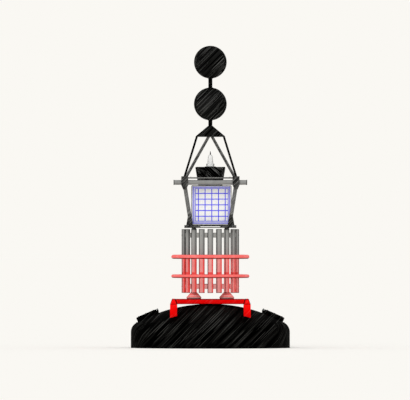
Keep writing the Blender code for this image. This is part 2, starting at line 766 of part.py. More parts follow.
def make_solar_panels():
    """Framed panels, recessed inside the frame, which stand on the platform's sills."""
    low = PLATFORM_TOP + SILL_HEIGHT + GAP
    high = low + PANEL_HEIGHT
    half = PANEL_WIDTH / 2
    frame = PANEL_FRAME
    opening = rectangle(-half + frame, half - frame, low + frame, high - frame)
    for end in SIDES:
        near = PANEL_OFFSET
        far = PANEL_OFFSET + PANEL_THICKNESS
        turn = Matrix.Rotation(0 if end < 0 else math.pi, 4, "Z")
        place = Matrix.Translation((PANEL_SHIFT, 0, 0)) @ turn
        shape = prism(rectangle(-half, half, low, high), -far, -near)
        panel = add(f"solar_panel_{end_name(end)}", shape, PANEL, place)
        face = prism(opening, -far - OVERRUN, -far + PANEL_RECESS)
        cut(panel, helper(f"panel_recess_{end_name(end)}", face, place))


def housing_radius(height):
    share = (height - HOUSING_BOTTOM) / (HOUSING_TOP - HOUSING_BOTTOM)
    return HOUSING_BOTTOM_RADIUS + share * (HOUSING_TOP_RADIUS - HOUSING_BOTTOM_RADIUS)


def make_lantern():
    """A plate between the brackets, the conical housing that drops into it, and a lens with a bird spike."""
    plate_half = LEG_HEAD_OFFSET - BRACKET_WIDTH / 2 - GAP
    depth = PLATE_DEPTH_HALF
    plate = add("lantern_plate", block(-plate_half, plate_half, -depth, depth, PLATE_BOTTOM, PLATE_TOP), GREY)
    low = PLATE_BOTTOM - OVERRUN
    high = PLATE_TOP + OVERRUN
    hole = [(0, high), (housing_radius(high) + GAP, high), (housing_radius(low) + GAP, low), (0, low)]
    cut(plate, helper("housing_hole", turned(hole, HOUSING_STEPS)))
    housing = [
        (0, HOUSING_TOP + BOSS_HEIGHT),
        (BOSS_RADIUS, HOUSING_TOP + BOSS_HEIGHT),
        (BOSS_RADIUS, HOUSING_TOP),
        (HOUSING_TOP_RADIUS - HOUSING_LIP, HOUSING_TOP),
        (housing_radius(HOUSING_TOP - HOUSING_LIP), HOUSING_TOP - HOUSING_LIP),
        (HOUSING_BOTTOM_RADIUS, HOUSING_BOTTOM),
        (0, HOUSING_BOTTOM),
    ]
    add("lantern_housing", turned(housing, HOUSING_STEPS), BLACK)
    seat = HOUSING_TOP + BOSS_HEIGHT + GAP
    rim = seat + LENS_BASE_HEIGHT
    base = add("lens_base", rod(LENS_BASE_RADIUS, seat, rim, LENS_STEPS), DARK_GREY)
    near = LENS_RADIUS + GAP
    clips = []
    for index in range(CLIP_COUNT):
        clip = block(-CLIP_WIDTH / 2, CLIP_WIDTH / 2, near, near + CLIP_THICKNESS, seat, rim + CLIP_HEIGHT)
        angle = FULL_TURN * (index + 1 / 2) / CLIP_COUNT
        bmesh.ops.rotate(clip, verts=clip.verts, matrix=Matrix.Rotation(angle, 3, "Z"))
        clips.append(clip)
    join(base, helper("lens_clips", merged(clips)))

    foot = rim + GAP
    crown = foot + LENS_HEIGHT
    lens = [
        (0, crown + SPIKE_LENGTH),
        (SPIKE_RADIUS, crown + SPIKE_LENGTH),
        (SPIKE_ROOT_RADIUS, crown),
    ]
    taper = (LENS_RADIUS - LENS_SHOULDER_RADIUS) / LENS_RIBS
    pitch = LENS_SHOULDER_HEIGHT / LENS_RIBS
    for rib in range(LENS_RIBS, 0, -1):
        high = foot + rib * pitch
        lens.append((LENS_RADIUS - rib * taper - LENS_RIB_DEPTH, high))
        lens.append((LENS_RADIUS - (rib - 1) * taper, high - pitch))
    lens.append((0, foot))
    add("lantern_lens", turned(lens, LENS_STEPS), LENS)


def make_topmark():
    """A three-cornered cap on four bars, and two balls on a mast."""
    lower_corners = [
        (-CAP_FRONT_HALF, -CAP_FRONT),
        (CAP_FRONT_HALF, -CAP_FRONT),
        (CAP_FRONT_HALF, CAP_CORNER - CAP_FRONT),
        (CAP_REAR_HALF, CAP_REAR),
        (-CAP_REAR_HALF, CAP_REAR),
        (-CAP_FRONT_HALF, CAP_CORNER - CAP_FRONT),
    ]
    shape = bmesh.new()
    for x, y in lower_corners:
        shape.verts.new((x, y, CAP_BOTTOM))
        shape.verts.new((x, y, CAP_BOTTOM + CAP_LIP))
    for step in range(MAST_STEPS):
        angle = FULL_TURN * step / MAST_STEPS
        shape.verts.new((CAP_CROWN_RADIUS * math.cos(angle), CAP_CROWN_RADIUS * math.sin(angle), CAP_TOP))
    bmesh.ops.convex_hull(shape, input=shape.verts)
    add("topmark_cap", shape, BLACK)

    foot = BRACKET_TOP + GAP
    head = CAP_BOTTOM - GAP
    for side in SIDES:
        start = (side * LEG_HEAD_OFFSET, -LEG_HEAD_OFFSET, foot)
        stop = (side * FRONT_BAR_TOP[0], -FRONT_BAR_TOP[1], head)
        bar = leaning_bar(start, stop, FRONT_BAR_RADIUS, BAR_STEPS)
        add(f"topmark_bar_front_{side_name(side)}", bar, BLACK)
        start = (side * REAR_BAR_STANCE, LEG_HEAD_OFFSET, foot)
        stop = (side * REAR_BAR_TOP[0], REAR_BAR_TOP[1], head)
        bar = leaning_bar(start, stop, REAR_BAR_RADIUS, BAR_STEPS)
        add(f"topmark_bar_rear_{side_name(side)}", bar, GREY)

    bore = MAST_RADIUS + GAP
    add("topmark_mast", rod(MAST_RADIUS, CAP_TOP + GAP, UPPER_BALL_HEIGHT, MAST_STEPS), BLACK)
    edge = math.asin(bore / BALL_RADIUS)
    for name, height, through in (("lower", LOWER_BALL_HEIGHT, True), ("upper", UPPER_BALL_HEIGHT, False)):
        first = edge if through else 0
        profile = []
        for step in range(BALL_ARC_STEPS + 1):
            angle = first + (math.pi - edge - first) * step / BALL_ARC_STEPS
            profile.append((BALL_RADIUS * math.sin(angle), height + BALL_RADIUS * math.cos(angle)))
        if not through:
            profile += [(bore, height + GAP), (0, height + GAP)]
        add(f"topmark_ball_{name}", turned(profile, BALL_STEPS, closed=through), BLACK)


def main():
    clear_scene()
    seat = make_float()
    make_mooring_eyes(seat)
    make_battery_pockets(seat)
    make_base_frame(seat)
    make_posts()
    make_daymark()
    make_ring_rails()
    make_platform()
    make_upper_legs()
    make_brackets()
    make_rail_tubes()
    make_solar_panels()
    make_lantern()
    make_topmark()


main()
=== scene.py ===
import math

import bmesh
import bpy
from mathutils import Matrix, Vector


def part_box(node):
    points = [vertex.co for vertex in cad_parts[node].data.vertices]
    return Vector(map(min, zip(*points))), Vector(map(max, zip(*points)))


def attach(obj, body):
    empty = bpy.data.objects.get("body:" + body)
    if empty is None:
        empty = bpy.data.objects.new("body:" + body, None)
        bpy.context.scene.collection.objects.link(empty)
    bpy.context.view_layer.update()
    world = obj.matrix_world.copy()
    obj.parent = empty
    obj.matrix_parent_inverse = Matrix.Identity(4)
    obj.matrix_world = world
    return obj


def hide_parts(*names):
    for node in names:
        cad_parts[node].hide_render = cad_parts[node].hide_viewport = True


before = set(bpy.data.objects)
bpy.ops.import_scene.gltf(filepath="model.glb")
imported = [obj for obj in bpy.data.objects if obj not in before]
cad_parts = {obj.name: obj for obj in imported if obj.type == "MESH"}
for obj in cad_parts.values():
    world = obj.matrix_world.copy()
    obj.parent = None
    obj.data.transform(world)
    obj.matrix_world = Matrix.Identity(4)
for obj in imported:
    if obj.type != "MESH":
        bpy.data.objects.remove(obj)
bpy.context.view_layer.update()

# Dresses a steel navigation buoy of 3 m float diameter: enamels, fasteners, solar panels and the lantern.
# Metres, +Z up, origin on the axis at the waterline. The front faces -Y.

bl_info = {
    "name": "Navigation Buoy Dressing",
    "version": (1, 0, 0),
    "blender": (4, 5, 0),
    "location": "3D View > Sidebar > Buoy",
    "description": "Adds the enamels, fasteners, solar panels, lantern and stage of a steel navigation buoy",
    "category": "Add Mesh",
}

FULL_TURN = 2 * math.pi
QUARTER_TURN = math.pi / 2
MILLIMETRE = 0.001
MERGE_DISTANCE = 0.00001
ON_AXIS = 0.0001
FLAT_ANGLE = math.radians(1)
SHARP_ANGLE = math.radians(30)
SMOOTH_ANGLE = math.radians(40)
SIDES = (-1, 1)
SIDE_NAMES = {-1: "left", 1: "right"}
END_NAMES = {-1: "front", 1: "rear"}
QUARTER_NAMES = ("front", "right", "rear", "left")
SLATS_PER_QUARTER = 5
SLAT_PITCH = QUARTER_TURN / SLATS_PER_QUARTER
CELL_COLUMNS = 6
CELL_ROWS = 6
UPRIGHT = Matrix.Identity(4)

# Steps round the turned pieces
FLOAT_STEPS = 192
WIDE_STEPS = 96
PIPE_STEPS = 64
POST_STEPS = 48
MAST_STEPS = 40
STRUT_STEPS = 32
FINE_STEPS = 24

# Steps round small sections and corners
BEAD_SIDES = 10
OUTLINE_STEPS = 6
EASED_STEPS = 3


def linear(code):
    """An sRGB hex colour as three linear values."""
    shares = (int(code[at:at + 2], 16) / 255 for at in (0, 2, 4))
    return tuple(share / 12.92 if share <= 0.04045 else ((share + 0.055) / 1.055) ** 2.4 for share in shares)


def size(label, default, description):
    return bpy.props.FloatProperty(
        name=label, description=description, default=default, min=0, subtype="DISTANCE", unit="LENGTH"
    )


def tint(label, code, description):
    return bpy.props.FloatVectorProperty(
        name=label, description=description, default=linear(code), min=0, max=1, size=3, subtype="COLOR"
    )


class BuoySizes(bpy.types.PropertyGroup):
    """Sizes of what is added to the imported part."""

    edge: size("Edge", 0.006, "Rounding of rolled and cut steel edges")
    fine_edge: size("Fine edge", 0.0025, "Rounding of plate and machined edges")
    dome_radius: size("Dome radius", 2.92, "Radius of the float's dished deck")
    shoulder_fillet: size("Shoulder fillet", 0.2, "Rounding between the deck and the float's side")
    side_depth: size("Side depth", 0.3, "Depth of the upright side under the waterline")
    chine: size("Chine", 0.1, "Width and drop of the chine under the side")
    bottom_flat: size("Bottom flat", 0.3, "Radius of the flat in the middle of the coned bottom")
    weld_width: size("Weld width", 0.014, "Width of the weld beads")
    bolt_radius: size("Bolt radius", 0.014, "Radius across the corners of the structural bolt heads")
    small_bolt_radius: size("Small bolt radius", 0.009, "Radius of the bolts in brackets and covers")
    screw_radius: size("Screw radius", 0.006, "Radius of the screws in slats and the housing")
    stroke_spacing: size("Stroke spacing", 0.036, "Distance between the brush strokes in the float's enamel")
    stroke_run: size("Stroke run", 1.8, "Length of a brush stroke in the float's enamel")
    pocket_distance: size("Pocket distance", 1.1643, "Distance of the battery pockets from the axis")
    pocket_shift: size("Pocket shift", 0.022, "Shift of the coaming down the slope of the deck")
    pocket_radius: size("Pocket radius", 0.205, "Outer radius of the coaming and the lid")
    coaming_wall: size("Coaming wall", 0.03, "Thickness of the coaming")
    coaming_height: size("Coaming height", 0.055, "Height of the coaming along its own axis")
    lid_thickness: size("Lid thickness", 0.018, "Thickness of the pocket lid at its rim")
    ring_tube_upper: size("Upper ring tube", 0.039, "Radius of the upper ring rail's tube")
    ring_tube_lower: size("Lower ring tube", 0.033, "Radius of the lower ring rail's tube")
    arm_width: size("Arm width", 0.04, "Width of the flat arms that carry the ring rails")
    arm_height: size("Arm height", 0.034, "Height of the flat arms that carry the ring rails")
    post_radius: size("Post radius", 0.045, "Radius of the tower posts")
    foot_height: size("Foot height", 0.125, "Height of the posts' conical feet")
    slat_width: size("Slat width", 0.106, "Width of the daymark's slats")
    slat_thickness: size("Slat thickness", 0.033, "Thickness of the daymark's slats")
    hoop_radius: size("Hoop radius", 0.4837, "Inner radius of the hoops")
    hoop_thickness: size("Hoop thickness", 0.036, "Thickness of the hoops behind the slats")
    hoop_height: size("Hoop height", 0.089, "Height of the hoops behind the slats")
    lower_hoop_rise: size("Lower hoop rise", 0.077, "Height of the lower hoop above the slats' feet")
    upper_hoop_drop: size("Upper hoop drop", 0.157, "Drop of the upper hoop's foot below the slats' heads")
    gusset_height: size("Gusset height", 0.21, "Height of the gussets at the feet of the upper legs")
    tube_cap: size("Tube cap", 0.014, "Thickness of the plugs in the rail tubes' ends")
    frame_width: size("Panel frame", 0.024, "Width of the solar panels' aluminium frame")
    frame_corner: size("Panel corner", 0.02, "Rounding of the solar panels' corners")
    sheet_depth: size("Panel sheet depth", 0.004, "Depth of the glass below the frame's face")
    band_width: size("Panel band", 0.02, "Width of the printed band inside the frame")
    cell_field_width: size("Cell field width", 0.622, "Width of the field of solar cells")
    cell_field_height: size("Cell field height", 0.6185, "Height of the field of solar cells")
    cell_field_shift: size("Cell field shift", 0.007, "Shift of the solar cells' field from the middle")
    cell_column: size("Cell column", 0.1265, "Distance between the upright lines of solar cells")
    cell_row: size("Cell row", 0.1078, "Distance between the level lines of solar cells")
    cell_gap: size("Cell gap", 0.018, "Width of the lines between the solar cells")
    lens_crown: size("Lens crown", 0.211, "Height of the lens under its bird spike")


class BuoyColours(bpy.types.PropertyGroup):
    """Colours of the finishes."""

    black: tint("Black enamel", "000000", "Float, housing and topmark")
    black_stroke: tint("Black strokes", "0F0F0E", "Brush strokes in the black enamel")
    black_bright: tint("Black bright strokes", "343432", "Thin strokes in the black enamel")
    topmark_black: tint("Topmark black", "020202", "Black enamel of the balls, which is laid on finer")
    topmark_stroke: tint("Topmark strokes", "1A1A19", "Brush strokes of the balls, cap and housing")
    topmark_bright: tint("Topmark bright strokes", "585856", "Thin strokes of the balls and cap")
    housing_bright: tint("Housing bright strokes", "727270", "Thin strokes of the lantern housing")
    red: tint("Red enamel", "FF0000", "Base frame")
    red_stroke: tint("Red strokes", "FF0A08", "Brush strokes in the red enamel")
    red_bright: tint("Red bright strokes", "FF3230", "Thin strokes in the red enamel")
    primer: tint("Dark primer", "120606", "Primer that shows along the worn edges")
    ring_red: tint("Ring red", "FF706C", "Ring rails")
    pale_red: tint("Faded red", "FF9C98", "The daymark's lower half")
    # On the slats the light and deep tones of the faded red are painted highlight and shade: lightest on the
    # middle slats, deepest at each right lap and in a band over the lower ring rail.
    pale_red_light: tint("Faded red, light", "FFB6B2", "Most faded red, in the middle of the daymark")
    pale_red_deep: tint("Faded red, deep", "FF5C58", "Least faded red, at the daymark's sides and laps")
    # The red edge tone is painted shade along the slats' left laps, on slat sides seen edge-on and under the
    # ring rails, and a dark line at slat ends and hoop edges.
    red_edge: tint("Red edges", "6A0606", "Dirt along the edges of the red slats")
    grey: tint("Grey enamel", "9C9C99", "The daymark's upper half")
    # On the slats the deep grey is painted shade at each right lap, and the edge grey painted shade along
    # each left lap and on sides seen edge-on; the edge grey also lines slat ends and hoop edges.
    grey_deep: tint("Grey enamel, deep", "737371", "Less faded grey at the slats' laps")
    grey_edge: tint("Grey edges", "1E1E1E", "Dirt along the edges of the grey slats")
    hoop_grey: tint("Hoop grey", "A6A6A2", "Upper hoops")
    frame_grey: tint("Frame grey", "626260", "Plate, legs and the pockets' insides")
    frame_grey_stroke: tint("Frame grey strokes", "7A7A78", "Brush strokes in the frame grey")
    frame_grey_bright: tint("Frame grey bright strokes", "949492", "Thin strokes in the frame grey")
    tube_grey: tint("Tube grey", "929290", "Rail tubes")
    # The rear struts' grey is painted light: a lit copy of the topmark's black, which the front struts keep.
    strut_grey: tint("Strut grey", "787876", "Rear struts of the topmark")
    dark_grey: tint("Dark grey enamel", "161616", "Platform, corner brackets and gussets")
    dark_grey_stroke: tint("Dark grey strokes", "4A4A48", "Brush strokes in the dark grey enamel")
    dark_grey_bright: tint("Dark grey bright strokes", "8C8C8A", "Thin strokes in the dark grey enamel")
    zinc: tint("Zinc", "9EA3A6", "Galvanised bolts, pins and anodes")
    iron: tint("Cast iron", "2E2D2C", "Ballast")
    cell: tint("Solar cell", "FFFFFF", "Pale face of a solar cell")
    cell_line: tint("Cell line", "5656FF", "Lines between the solar cells")
    band: tint("Panel band", "9494FF", "Printed band round a solar panel")
    border: tint("Panel border", "D4D4FF", "Plain border of a solar panel")
    aluminium: tint("Aluminium", "F8F8F5", "Solar panel frames")
    lens: tint("Lens", "FFFFFD", "Lantern lens")
    lens_rim: tint("Lens rim", "5A5A58", "Edge-on wall of the lantern lens")
    rubber: tint("Rubber", "1B1B1B", "Gaskets, tube plugs and boxes")
    floor: tint("Floor", "FAF8F3", "Floor and backdrop")


def place(tree, kind, inputs=None, **settings):
    """Adds a node with its own settings.

    Inputs are given by name or number: a value, a socket, or a node, which stands for its first output.
    """
    made = tree.nodes.new(kind)
    for name, value in settings.items():
        setattr(made, name, value)
    for socket, value in (inputs or {}).items():
        if isinstance(value, bpy.types.Node):
            value = value.outputs[0]
        if isinstance(value, bpy.types.NodeSocket):
            tree.links.new(value, made.inputs[socket])
        else:
            made.inputs[socket].default_value = value
    return made


# Materials

STROKES_UP = 1
STROKES_DOWN = -1
BROAD_FILM = 0.0
THIN_FILM = 7.0
# Shares of a normal past which a face looks back, or is steep enough for a side, and a side's least turn.
LOOKS_BACK = 0.02
STEEP = 0.46
SIDE_TURN = 1.6
# What keeps the strokes in step round the float, where its side begins.
STEP_ROUND_FLOAT = 2.067
# How far a broad stroke's soft edge reaches out of the stroke and into it.
EDGE_OUT = 0.01
EDGE_IN = 0.02
# The thin strokes' shares of the broad ones' spacing and run.
THIN_SPACING_SHARE = 0.45
THIN_RUN_SHARE = 0.5
# Where in the noise the thin strokes begin, and where they are whole.
THIN_FROM = 0.61
THIN_TO = 0.64


def solid(colour):
    return (*colour, 1)


def shaded(colour, share):
    return tuple(value * share for value in colour)


def finish(name):
    return bpy.data.materials[name]


def shader(name, constants):
    """A new material with a principled shader, whose constants are set on its own sockets."""
    material = bpy.data.materials.new(name)
    material.use_nodes = True
    tree = material.node_tree
    tree.nodes.clear()
    surface = place(tree, "ShaderNodeBsdfPrincipled", constants)
    place(tree, "ShaderNodeOutputMaterial", {"Surface": surface})
    return tree, surface


def coated(tree, surface, colour, wavelength, depth):
    """Gives a surface its colour, and unevenness of a real wavelength and depth as a bump."""
    tree.links.new(colour, surface.inputs["Base Color"])
    where = place(tree, "ShaderNodeTexCoord").outputs["Object"]
    noise = place(tree, "ShaderNodeTexNoise", {"Vector": where, "Scale": 1 / wavelength, "Detail": 3.0})
    bump = place(tree, "ShaderNodeBump", {"Height": noise, "Strength": 1.0, "Distance": depth})
    tree.links.new(bump.outputs["Normal"], surface.inputs["Normal"])


def patched(tree, scale, detail, levels):
    """Soft patches over an object, as a share or strength in the given levels."""
    where = place(tree, "ShaderNodeTexCoord").outputs["Object"]
    noise = place(tree, "ShaderNodeTexNoise", {"Vector": where, "Scale": scale, "Detail": detail})
    return place(tree, "ShaderNodeMapRange", {"Value": noise} | levels)


def brushed(tree, lean, spacing, run, film):
    """A film of brush strokes that lean the same way, at 45 degrees, whichever side they are seen from."""
    made = place(tree, "ShaderNodeTexCoord").outputs
    spot = place(tree, "ShaderNodeSeparateXYZ", {0: made["Object"]}).outputs
    normal = place(tree, "ShaderNodeSeparateXYZ", {0: made["Normal"]}).outputs
    # Faces that look back are brushed from behind, and all others but the sides from the front.
    back = place(tree, "ShaderNodeMath", {0: normal["Y"], 1: LOOKS_BACK}, operation="GREATER_THAN")
    mirror = place(tree, "ShaderNodeMath", {0: back, 1: -2.0, 2: 1.0}, operation="MULTIPLY_ADD")
    ahead = place(tree, "ShaderNodeMath", {0: spot["X"], 1: mirror}, operation="MULTIPLY")
    # Steep faces that look sideways are brushed from their side, in step with the front round the float.
    shifted = place(tree, "ShaderNodeMath", {0: spot["Y"], 1: STEP_ROUND_FLOAT}, operation="ADD")
    mirror = place(tree, "ShaderNodeMath", {0: normal["X"]}, operation="SIGN")
    aside = place(tree, "ShaderNodeMath", {0: shifted, 1: mirror}, operation="MULTIPLY")
    forward = place(tree, "ShaderNodeMath", {0: normal["Y"]}, operation="ABSOLUTE")
    turned = place(tree, "ShaderNodeMath", {0: forward, 1: SIDE_TURN}, operation="MULTIPLY")
    limit = place(tree, "ShaderNodeMath", {0: turned, 1: STEEP}, operation="MAXIMUM")
    sideways = place(tree, "ShaderNodeMath", {0: normal["X"]}, operation="ABSOLUTE")
    share = place(tree, "ShaderNodeMath", {0: sideways, 1: limit}, operation="GREATER_THAN")
    level = place(tree, "ShaderNodeMix", {0: share, 2: ahead, 3: aside}, data_type="FLOAT")
    face = place(tree, "ShaderNodeCombineXYZ", {0: level, 1: spot["Z"]})
    across = Vector((1, -lean, 0)).normalized() / spacing
    along = Vector((1, lean, 0)).normalized() / run
    side = place(tree, "ShaderNodeVectorMath", {0: face, 1: across}, operation="DOT_PRODUCT")
    down = place(tree, "ShaderNodeVectorMath", {0: face, 1: along}, operation="DOT_PRODUCT")
    point = {0: side.outputs["Value"], 1: down.outputs["Value"], 2: film}
    vector = place(tree, "ShaderNodeCombineXYZ", point)
    return place(tree, "ShaderNodeTexNoise", {"Vector": vector, "Scale": 1.0, "Detail": 1.0})


def enamel(name, tones, lean, spacing, run, constants, cover):
    """Marine enamel laid on with a wide brush: broad strokes on a film, and thin ones over both."""
    tree, surface = shader(name, constants)
    film, stroke, bright = tones
    broad = brushed(tree, lean, spacing, run, BROAD_FILM)
    thin = brushed(tree, lean, spacing * THIN_SPACING_SHARE, run * THIN_RUN_SHARE, THIN_FILM)
    colour = solid(film)
    for strokes, low, high, tone in (
        (broad, 1 - cover - EDGE_OUT, 1 - cover + EDGE_IN, stroke),
        (thin, THIN_FROM, THIN_TO, bright),
    ):
        share = place(tree, "ShaderNodeMapRange", {"Value": strokes, "From Min": low, "From Max": high})
        laid = {0: share, 6: colour, 7: solid(tone)}
        colour = place(tree, "ShaderNodeMix", laid, data_type="RGBA").outputs[2]
    coated(tree, surface, colour, 60 * MILLIMETRE, 0.5 * MILLIMETRE)


def make_brushed_enamels(sizes, colours):
    matt = {"Roughness": 0.8, "Specular IOR Level": 0.005}
    soft = {"Roughness": 0.7, "Specular IOR Level": 0.05}
    black = (colours.black, colours.black_stroke, colours.black_bright)
    topmark = (colours.topmark_black, colours.topmark_stroke, colours.topmark_bright)
    red = (colours.red, colours.red_stroke, colours.red_bright)
    grey = (colours.frame_grey, colours.frame_grey_stroke, colours.frame_grey_bright)
    dark = (colours.dark_grey, colours.dark_grey_stroke, colours.dark_grey_bright)
    darker = 0.35
    brighter = 1.7
    strut = (shaded(colours.strut_grey, darker), colours.strut_grey, shaded(colours.strut_grey, brighter))
    housing = (colours.black, colours.topmark_stroke, colours.housing_bright)
    # Columns: name, tones, lean, shares of the stroke's spacing and run, constants, and the strokes' cover.
    coats = (
        # Black float enamel, brushed up to the right: matt, near black, with a hatch of grey strokes.
        ("brushed black enamel", black, STROKES_UP, 1, 1, matt, 0.47),
        # The housing's black, brushed the other way and finer, so that it parts from the blacks round it.
        ("cross brushed black enamel", housing, STROKES_DOWN, 0.6, 0.3, matt, 0.45),
        # The balls' and cap's black, in fine strokes that show more grey.
        ("fine brushed black enamel", topmark, STROKES_UP, 0.55, 1, matt, 0.5),
        # Signal red of the base frame, hardly faded, with faint paler strokes.
        ("brushed red enamel", red, STROKES_UP, 1, 1, soft, 0.5),
        # Grey of the plate, the legs and the pockets' primed insides, a little uneven.
        ("brushed grey enamel", grey, STROKES_UP, 0.6, 0.3, soft, 0.5),
        # Dark grey of the platform, brackets and gussets, whose strokes show plainly.
        ("brushed dark grey enamel", dark, STROKES_UP, 0.5, 0.25, soft, 0.5),
        # Dark grey of the rear struts, a lit copy of the black as painted light, and of the panels' channels,
        # in short strokes across the bar.
        ("brushed strut enamel", strut, STROKES_UP, 0.4, 0.2, soft, 0.5),
    )
    for name, tones, lean, spacing_share, run_share, constants, cover in coats:
        spacing = sizes.stroke_spacing * spacing_share
        run = sizes.stroke_run * run_share
        enamel(name, tones, lean, spacing, run, constants, cover)


def two_tone(name, upper, lower, switch):
    """Grey enamel over faded red, parted at a height, with soft patches where it has weathered."""
    tree, surface = shader(name, {"Roughness": 0.6, "Specular IOR Level": 0.1})
    where = place(tree, "ShaderNodeTexCoord").outputs["Object"]
    height = place(tree, "ShaderNodeSeparateXYZ", {0: where}).outputs["Z"]
    high = place(tree, "ShaderNodeMath", {0: height, 1: switch}, operation="GREATER_THAN")
    tones = {0: high, 6: solid(lower), 7: solid(upper)}
    colour = place(tree, "ShaderNodeMix", tones, data_type="RGBA").outputs[2]
    level = patched(tree, 5.0, 4.0, {"From Min": 0.3, "From Max": 0.7, "To Min": 0.88, "To Max": 1.0})
    worn = place(tree, "ShaderNodeVectorMath", {0: colour, "Scale": level}, operation="SCALE").outputs[0]
    coated(tree, surface, worn, 50 * MILLIMETRE, 0.4 * MILLIMETRE)


def make_slat_enamel(colours, switch, foot, top, rail_top):
    """Two-tone slat paint with painted highlight and shade on each slat, a painted shadow over the lower ring
    rail, and darker ends.
    """
    # Half the height of the painted shadow band over the lower ring rail, and the height of the darker line
    # at the ends.
    rail_shadow_half = 0.022
    end_line_height = 0.009
    # The middle and half width of the painted shade line along the left lap, as shares of the pitch between
    # slats.
    lap_middle_share = 0.235
    lap_half_share = 0.043
    tree, surface = shader("two tone slat enamel", {"Roughness": 0.6, "Specular IOR Level": 0.1})
    where = place(tree, "ShaderNodeTexCoord").outputs["Object"]
    axes = place(tree, "ShaderNodeSeparateXYZ", {0: where}).outputs
    # Painted highlight and shade: the red is lightest on the middle slats, front and rear, and deeper towards
    # the sides.
    sideways = place(tree, "ShaderNodeMath", {0: axes["X"]}, operation="ABSOLUTE")
    inner = {"Value": sideways, "From Min": 0.09, "From Max": 0.2}
    near = place(tree, "ShaderNodeMapRange", inner)
    front = place(tree, "ShaderNodeMath", {0: axes["Y"], 1: -1.0}, operation="MULTIPLY")
    azimuth = place(tree, "ShaderNodeMath", {0: axes["X"], 1: front}, operation="ARCTAN2")
    turned = {0: azimuth, 1: 1 / SLAT_PITCH, 2: 0.5}
    slats = place(tree, "ShaderNodeMath", turned, operation="MULTIPLY_ADD")
    across = place(tree, "ShaderNodeMath", {0: slats}, operation="FRACT")
    # Painted shade: the right lap of each slat takes the deeper red or grey.
    shaded_lap_range = {"Value": across, "From Min": 0.6, "From Max": 0.7}
    shaded_lap = place(tree, "ShaderNodeMapRange", shaded_lap_range)
    # Painted shadow: a band of the deeper red just over the lower ring rail.
    band = {0: axes["Z"], 1: rail_top + rail_shadow_half, 2: rail_shadow_half}
    rail_shadow = place(tree, "ShaderNodeMath", band, operation="COMPARE")
    red = solid(colours.pale_red_light)
    layers = ((near, colours.pale_red), (shaded_lap, colours.pale_red_deep), (rail_shadow, colours.pale_red_deep))
    for share, tone in layers:
        tones = {0: share, 6: red, 7: solid(tone)}
        red = place(tree, "ShaderNodeMix", tones, data_type="RGBA").outputs[2]
    tones = {0: shaded_lap, 6: solid(colours.grey), 7: solid(colours.grey_deep)}
    grey = place(tree, "ShaderNodeMix", tones, data_type="RGBA").outputs[2]
    high = place(tree, "ShaderNodeMath", {0: axes["Z"], 1: switch}, operation="GREATER_THAN")
    clean = place(tree, "ShaderNodeMix", {0: high, 6: red, 7: grey}, data_type="RGBA").outputs[2]
    # Painted shade: a dark line along each slat's left lap, in the dark edge tones; the slats' ends take the
    # same darker tone.
    tones = {0: high, 6: solid(colours.red_edge), 7: solid(colours.grey_edge)}
    dark_line_tone = place(tree, "ShaderNodeMix", tones, data_type="RGBA").outputs[2]
    left = {0: across, 1: lap_middle_share, 2: lap_half_share}
    edge = place(tree, "ShaderNodeMath", left, operation="COMPARE")
    inside = {0: axes["Z"], 1: (foot + top) / 2, 2: (top - foot) / 2 - end_line_height}
    length = place(tree, "ShaderNodeMath", inside, operation="COMPARE")
    ends = place(tree, "ShaderNodeMath", {0: 1.0, 1: length}, operation="SUBTRACT")
    darkened = place(tree, "ShaderNodeMath", {0: edge, 1: ends}, operation="MAXIMUM")
    colour = place(tree, "ShaderNodeMix", {0: darkened, 6: clean, 7: dark_line_tone}, data_type="RGBA").outputs[2]
    coated(tree, surface, colour, 50 * MILLIMETRE, 0.4 * MILLIMETRE)


def make_ring_enamel(colours):
    """Faded red of the ring rails, with painted shade on the round tube's underside."""
    tree, surface = shader("faded red enamel", {"Roughness": 0.55, "Specular IOR Level": 0.1})
    share = patched(tree, 6.0, 4.0, {"From Min": 0.5, "From Max": 0.8})
    tones = {0: share, 6: solid(colours.ring_red), 7: solid(colours.pale_red)}
    red = place(tree, "ShaderNodeMix", tones, data_type="RGBA").outputs[2]
    # Painted shade: faces that look down take the dark red edge tone.
    normal = place(tree, "ShaderNodeTexCoord").outputs["Normal"]
    up = place(tree, "ShaderNodeSeparateXYZ", {0: normal}).outputs["Z"]
    turned = {"Value": up, "From Min": -0.5, "From Max": -0.66}
    under = place(tree, "ShaderNodeMapRange", turned)
    tones = {0: under, 6: red, 7: solid(colours.red_edge)}
    darkened = place(tree, "ShaderNodeMix", tones, data_type="RGBA").outputs[2]
    coated(tree, surface, darkened, 40 * MILLIMETRE, 0.4 * MILLIMETRE)


def make_foot_enamel(low, high):
    """Red of the conical feet, in level bands that are painted highlight and shade up the turned foot."""
    tree, surface = shader("banded red enamel", {"Roughness": 0.6, "Specular IOR Level": 0.1})
    where = place(tree, "ShaderNodeTexCoord").outputs["Object"]
    height = place(tree, "ShaderNodeSeparateXYZ", {0: where}).outputs["Z"]
    rise = {"Value": height, "From Min": low, "From Max": high}
    share = place(tree, "ShaderNodeMapRange", rise)
    # Painted highlight and shade: lighter and darker level bands up the cone.
    bands = place(tree, "ShaderNodeValToRGB", {0: share})
    # Columns: share of the foot's height, and the colour there.
    stops = (
        (0.0, "B07874"), (0.1, "6A2A28"), (0.17, "B88884"), (0.27, "C09490"), (0.34, "FFA29C"),
        (0.42, "FF4846"), (0.5, "FFB4AE"), (0.64, "FF8C88"), (0.76, "FF5452"), (0.84, "FFA8A2"),
        (1.0, "E07874"),
    )
    ramp = bands.color_ramp.elements
    for position, _ in stops[1:-1]:
        ramp.new(position)
    for stop, (position, code) in zip(ramp, stops):
        stop.color = solid(linear(code))
    coated(tree, surface, bands.outputs["Color"], 40 * MILLIMETRE, 0.4 * MILLIMETRE)


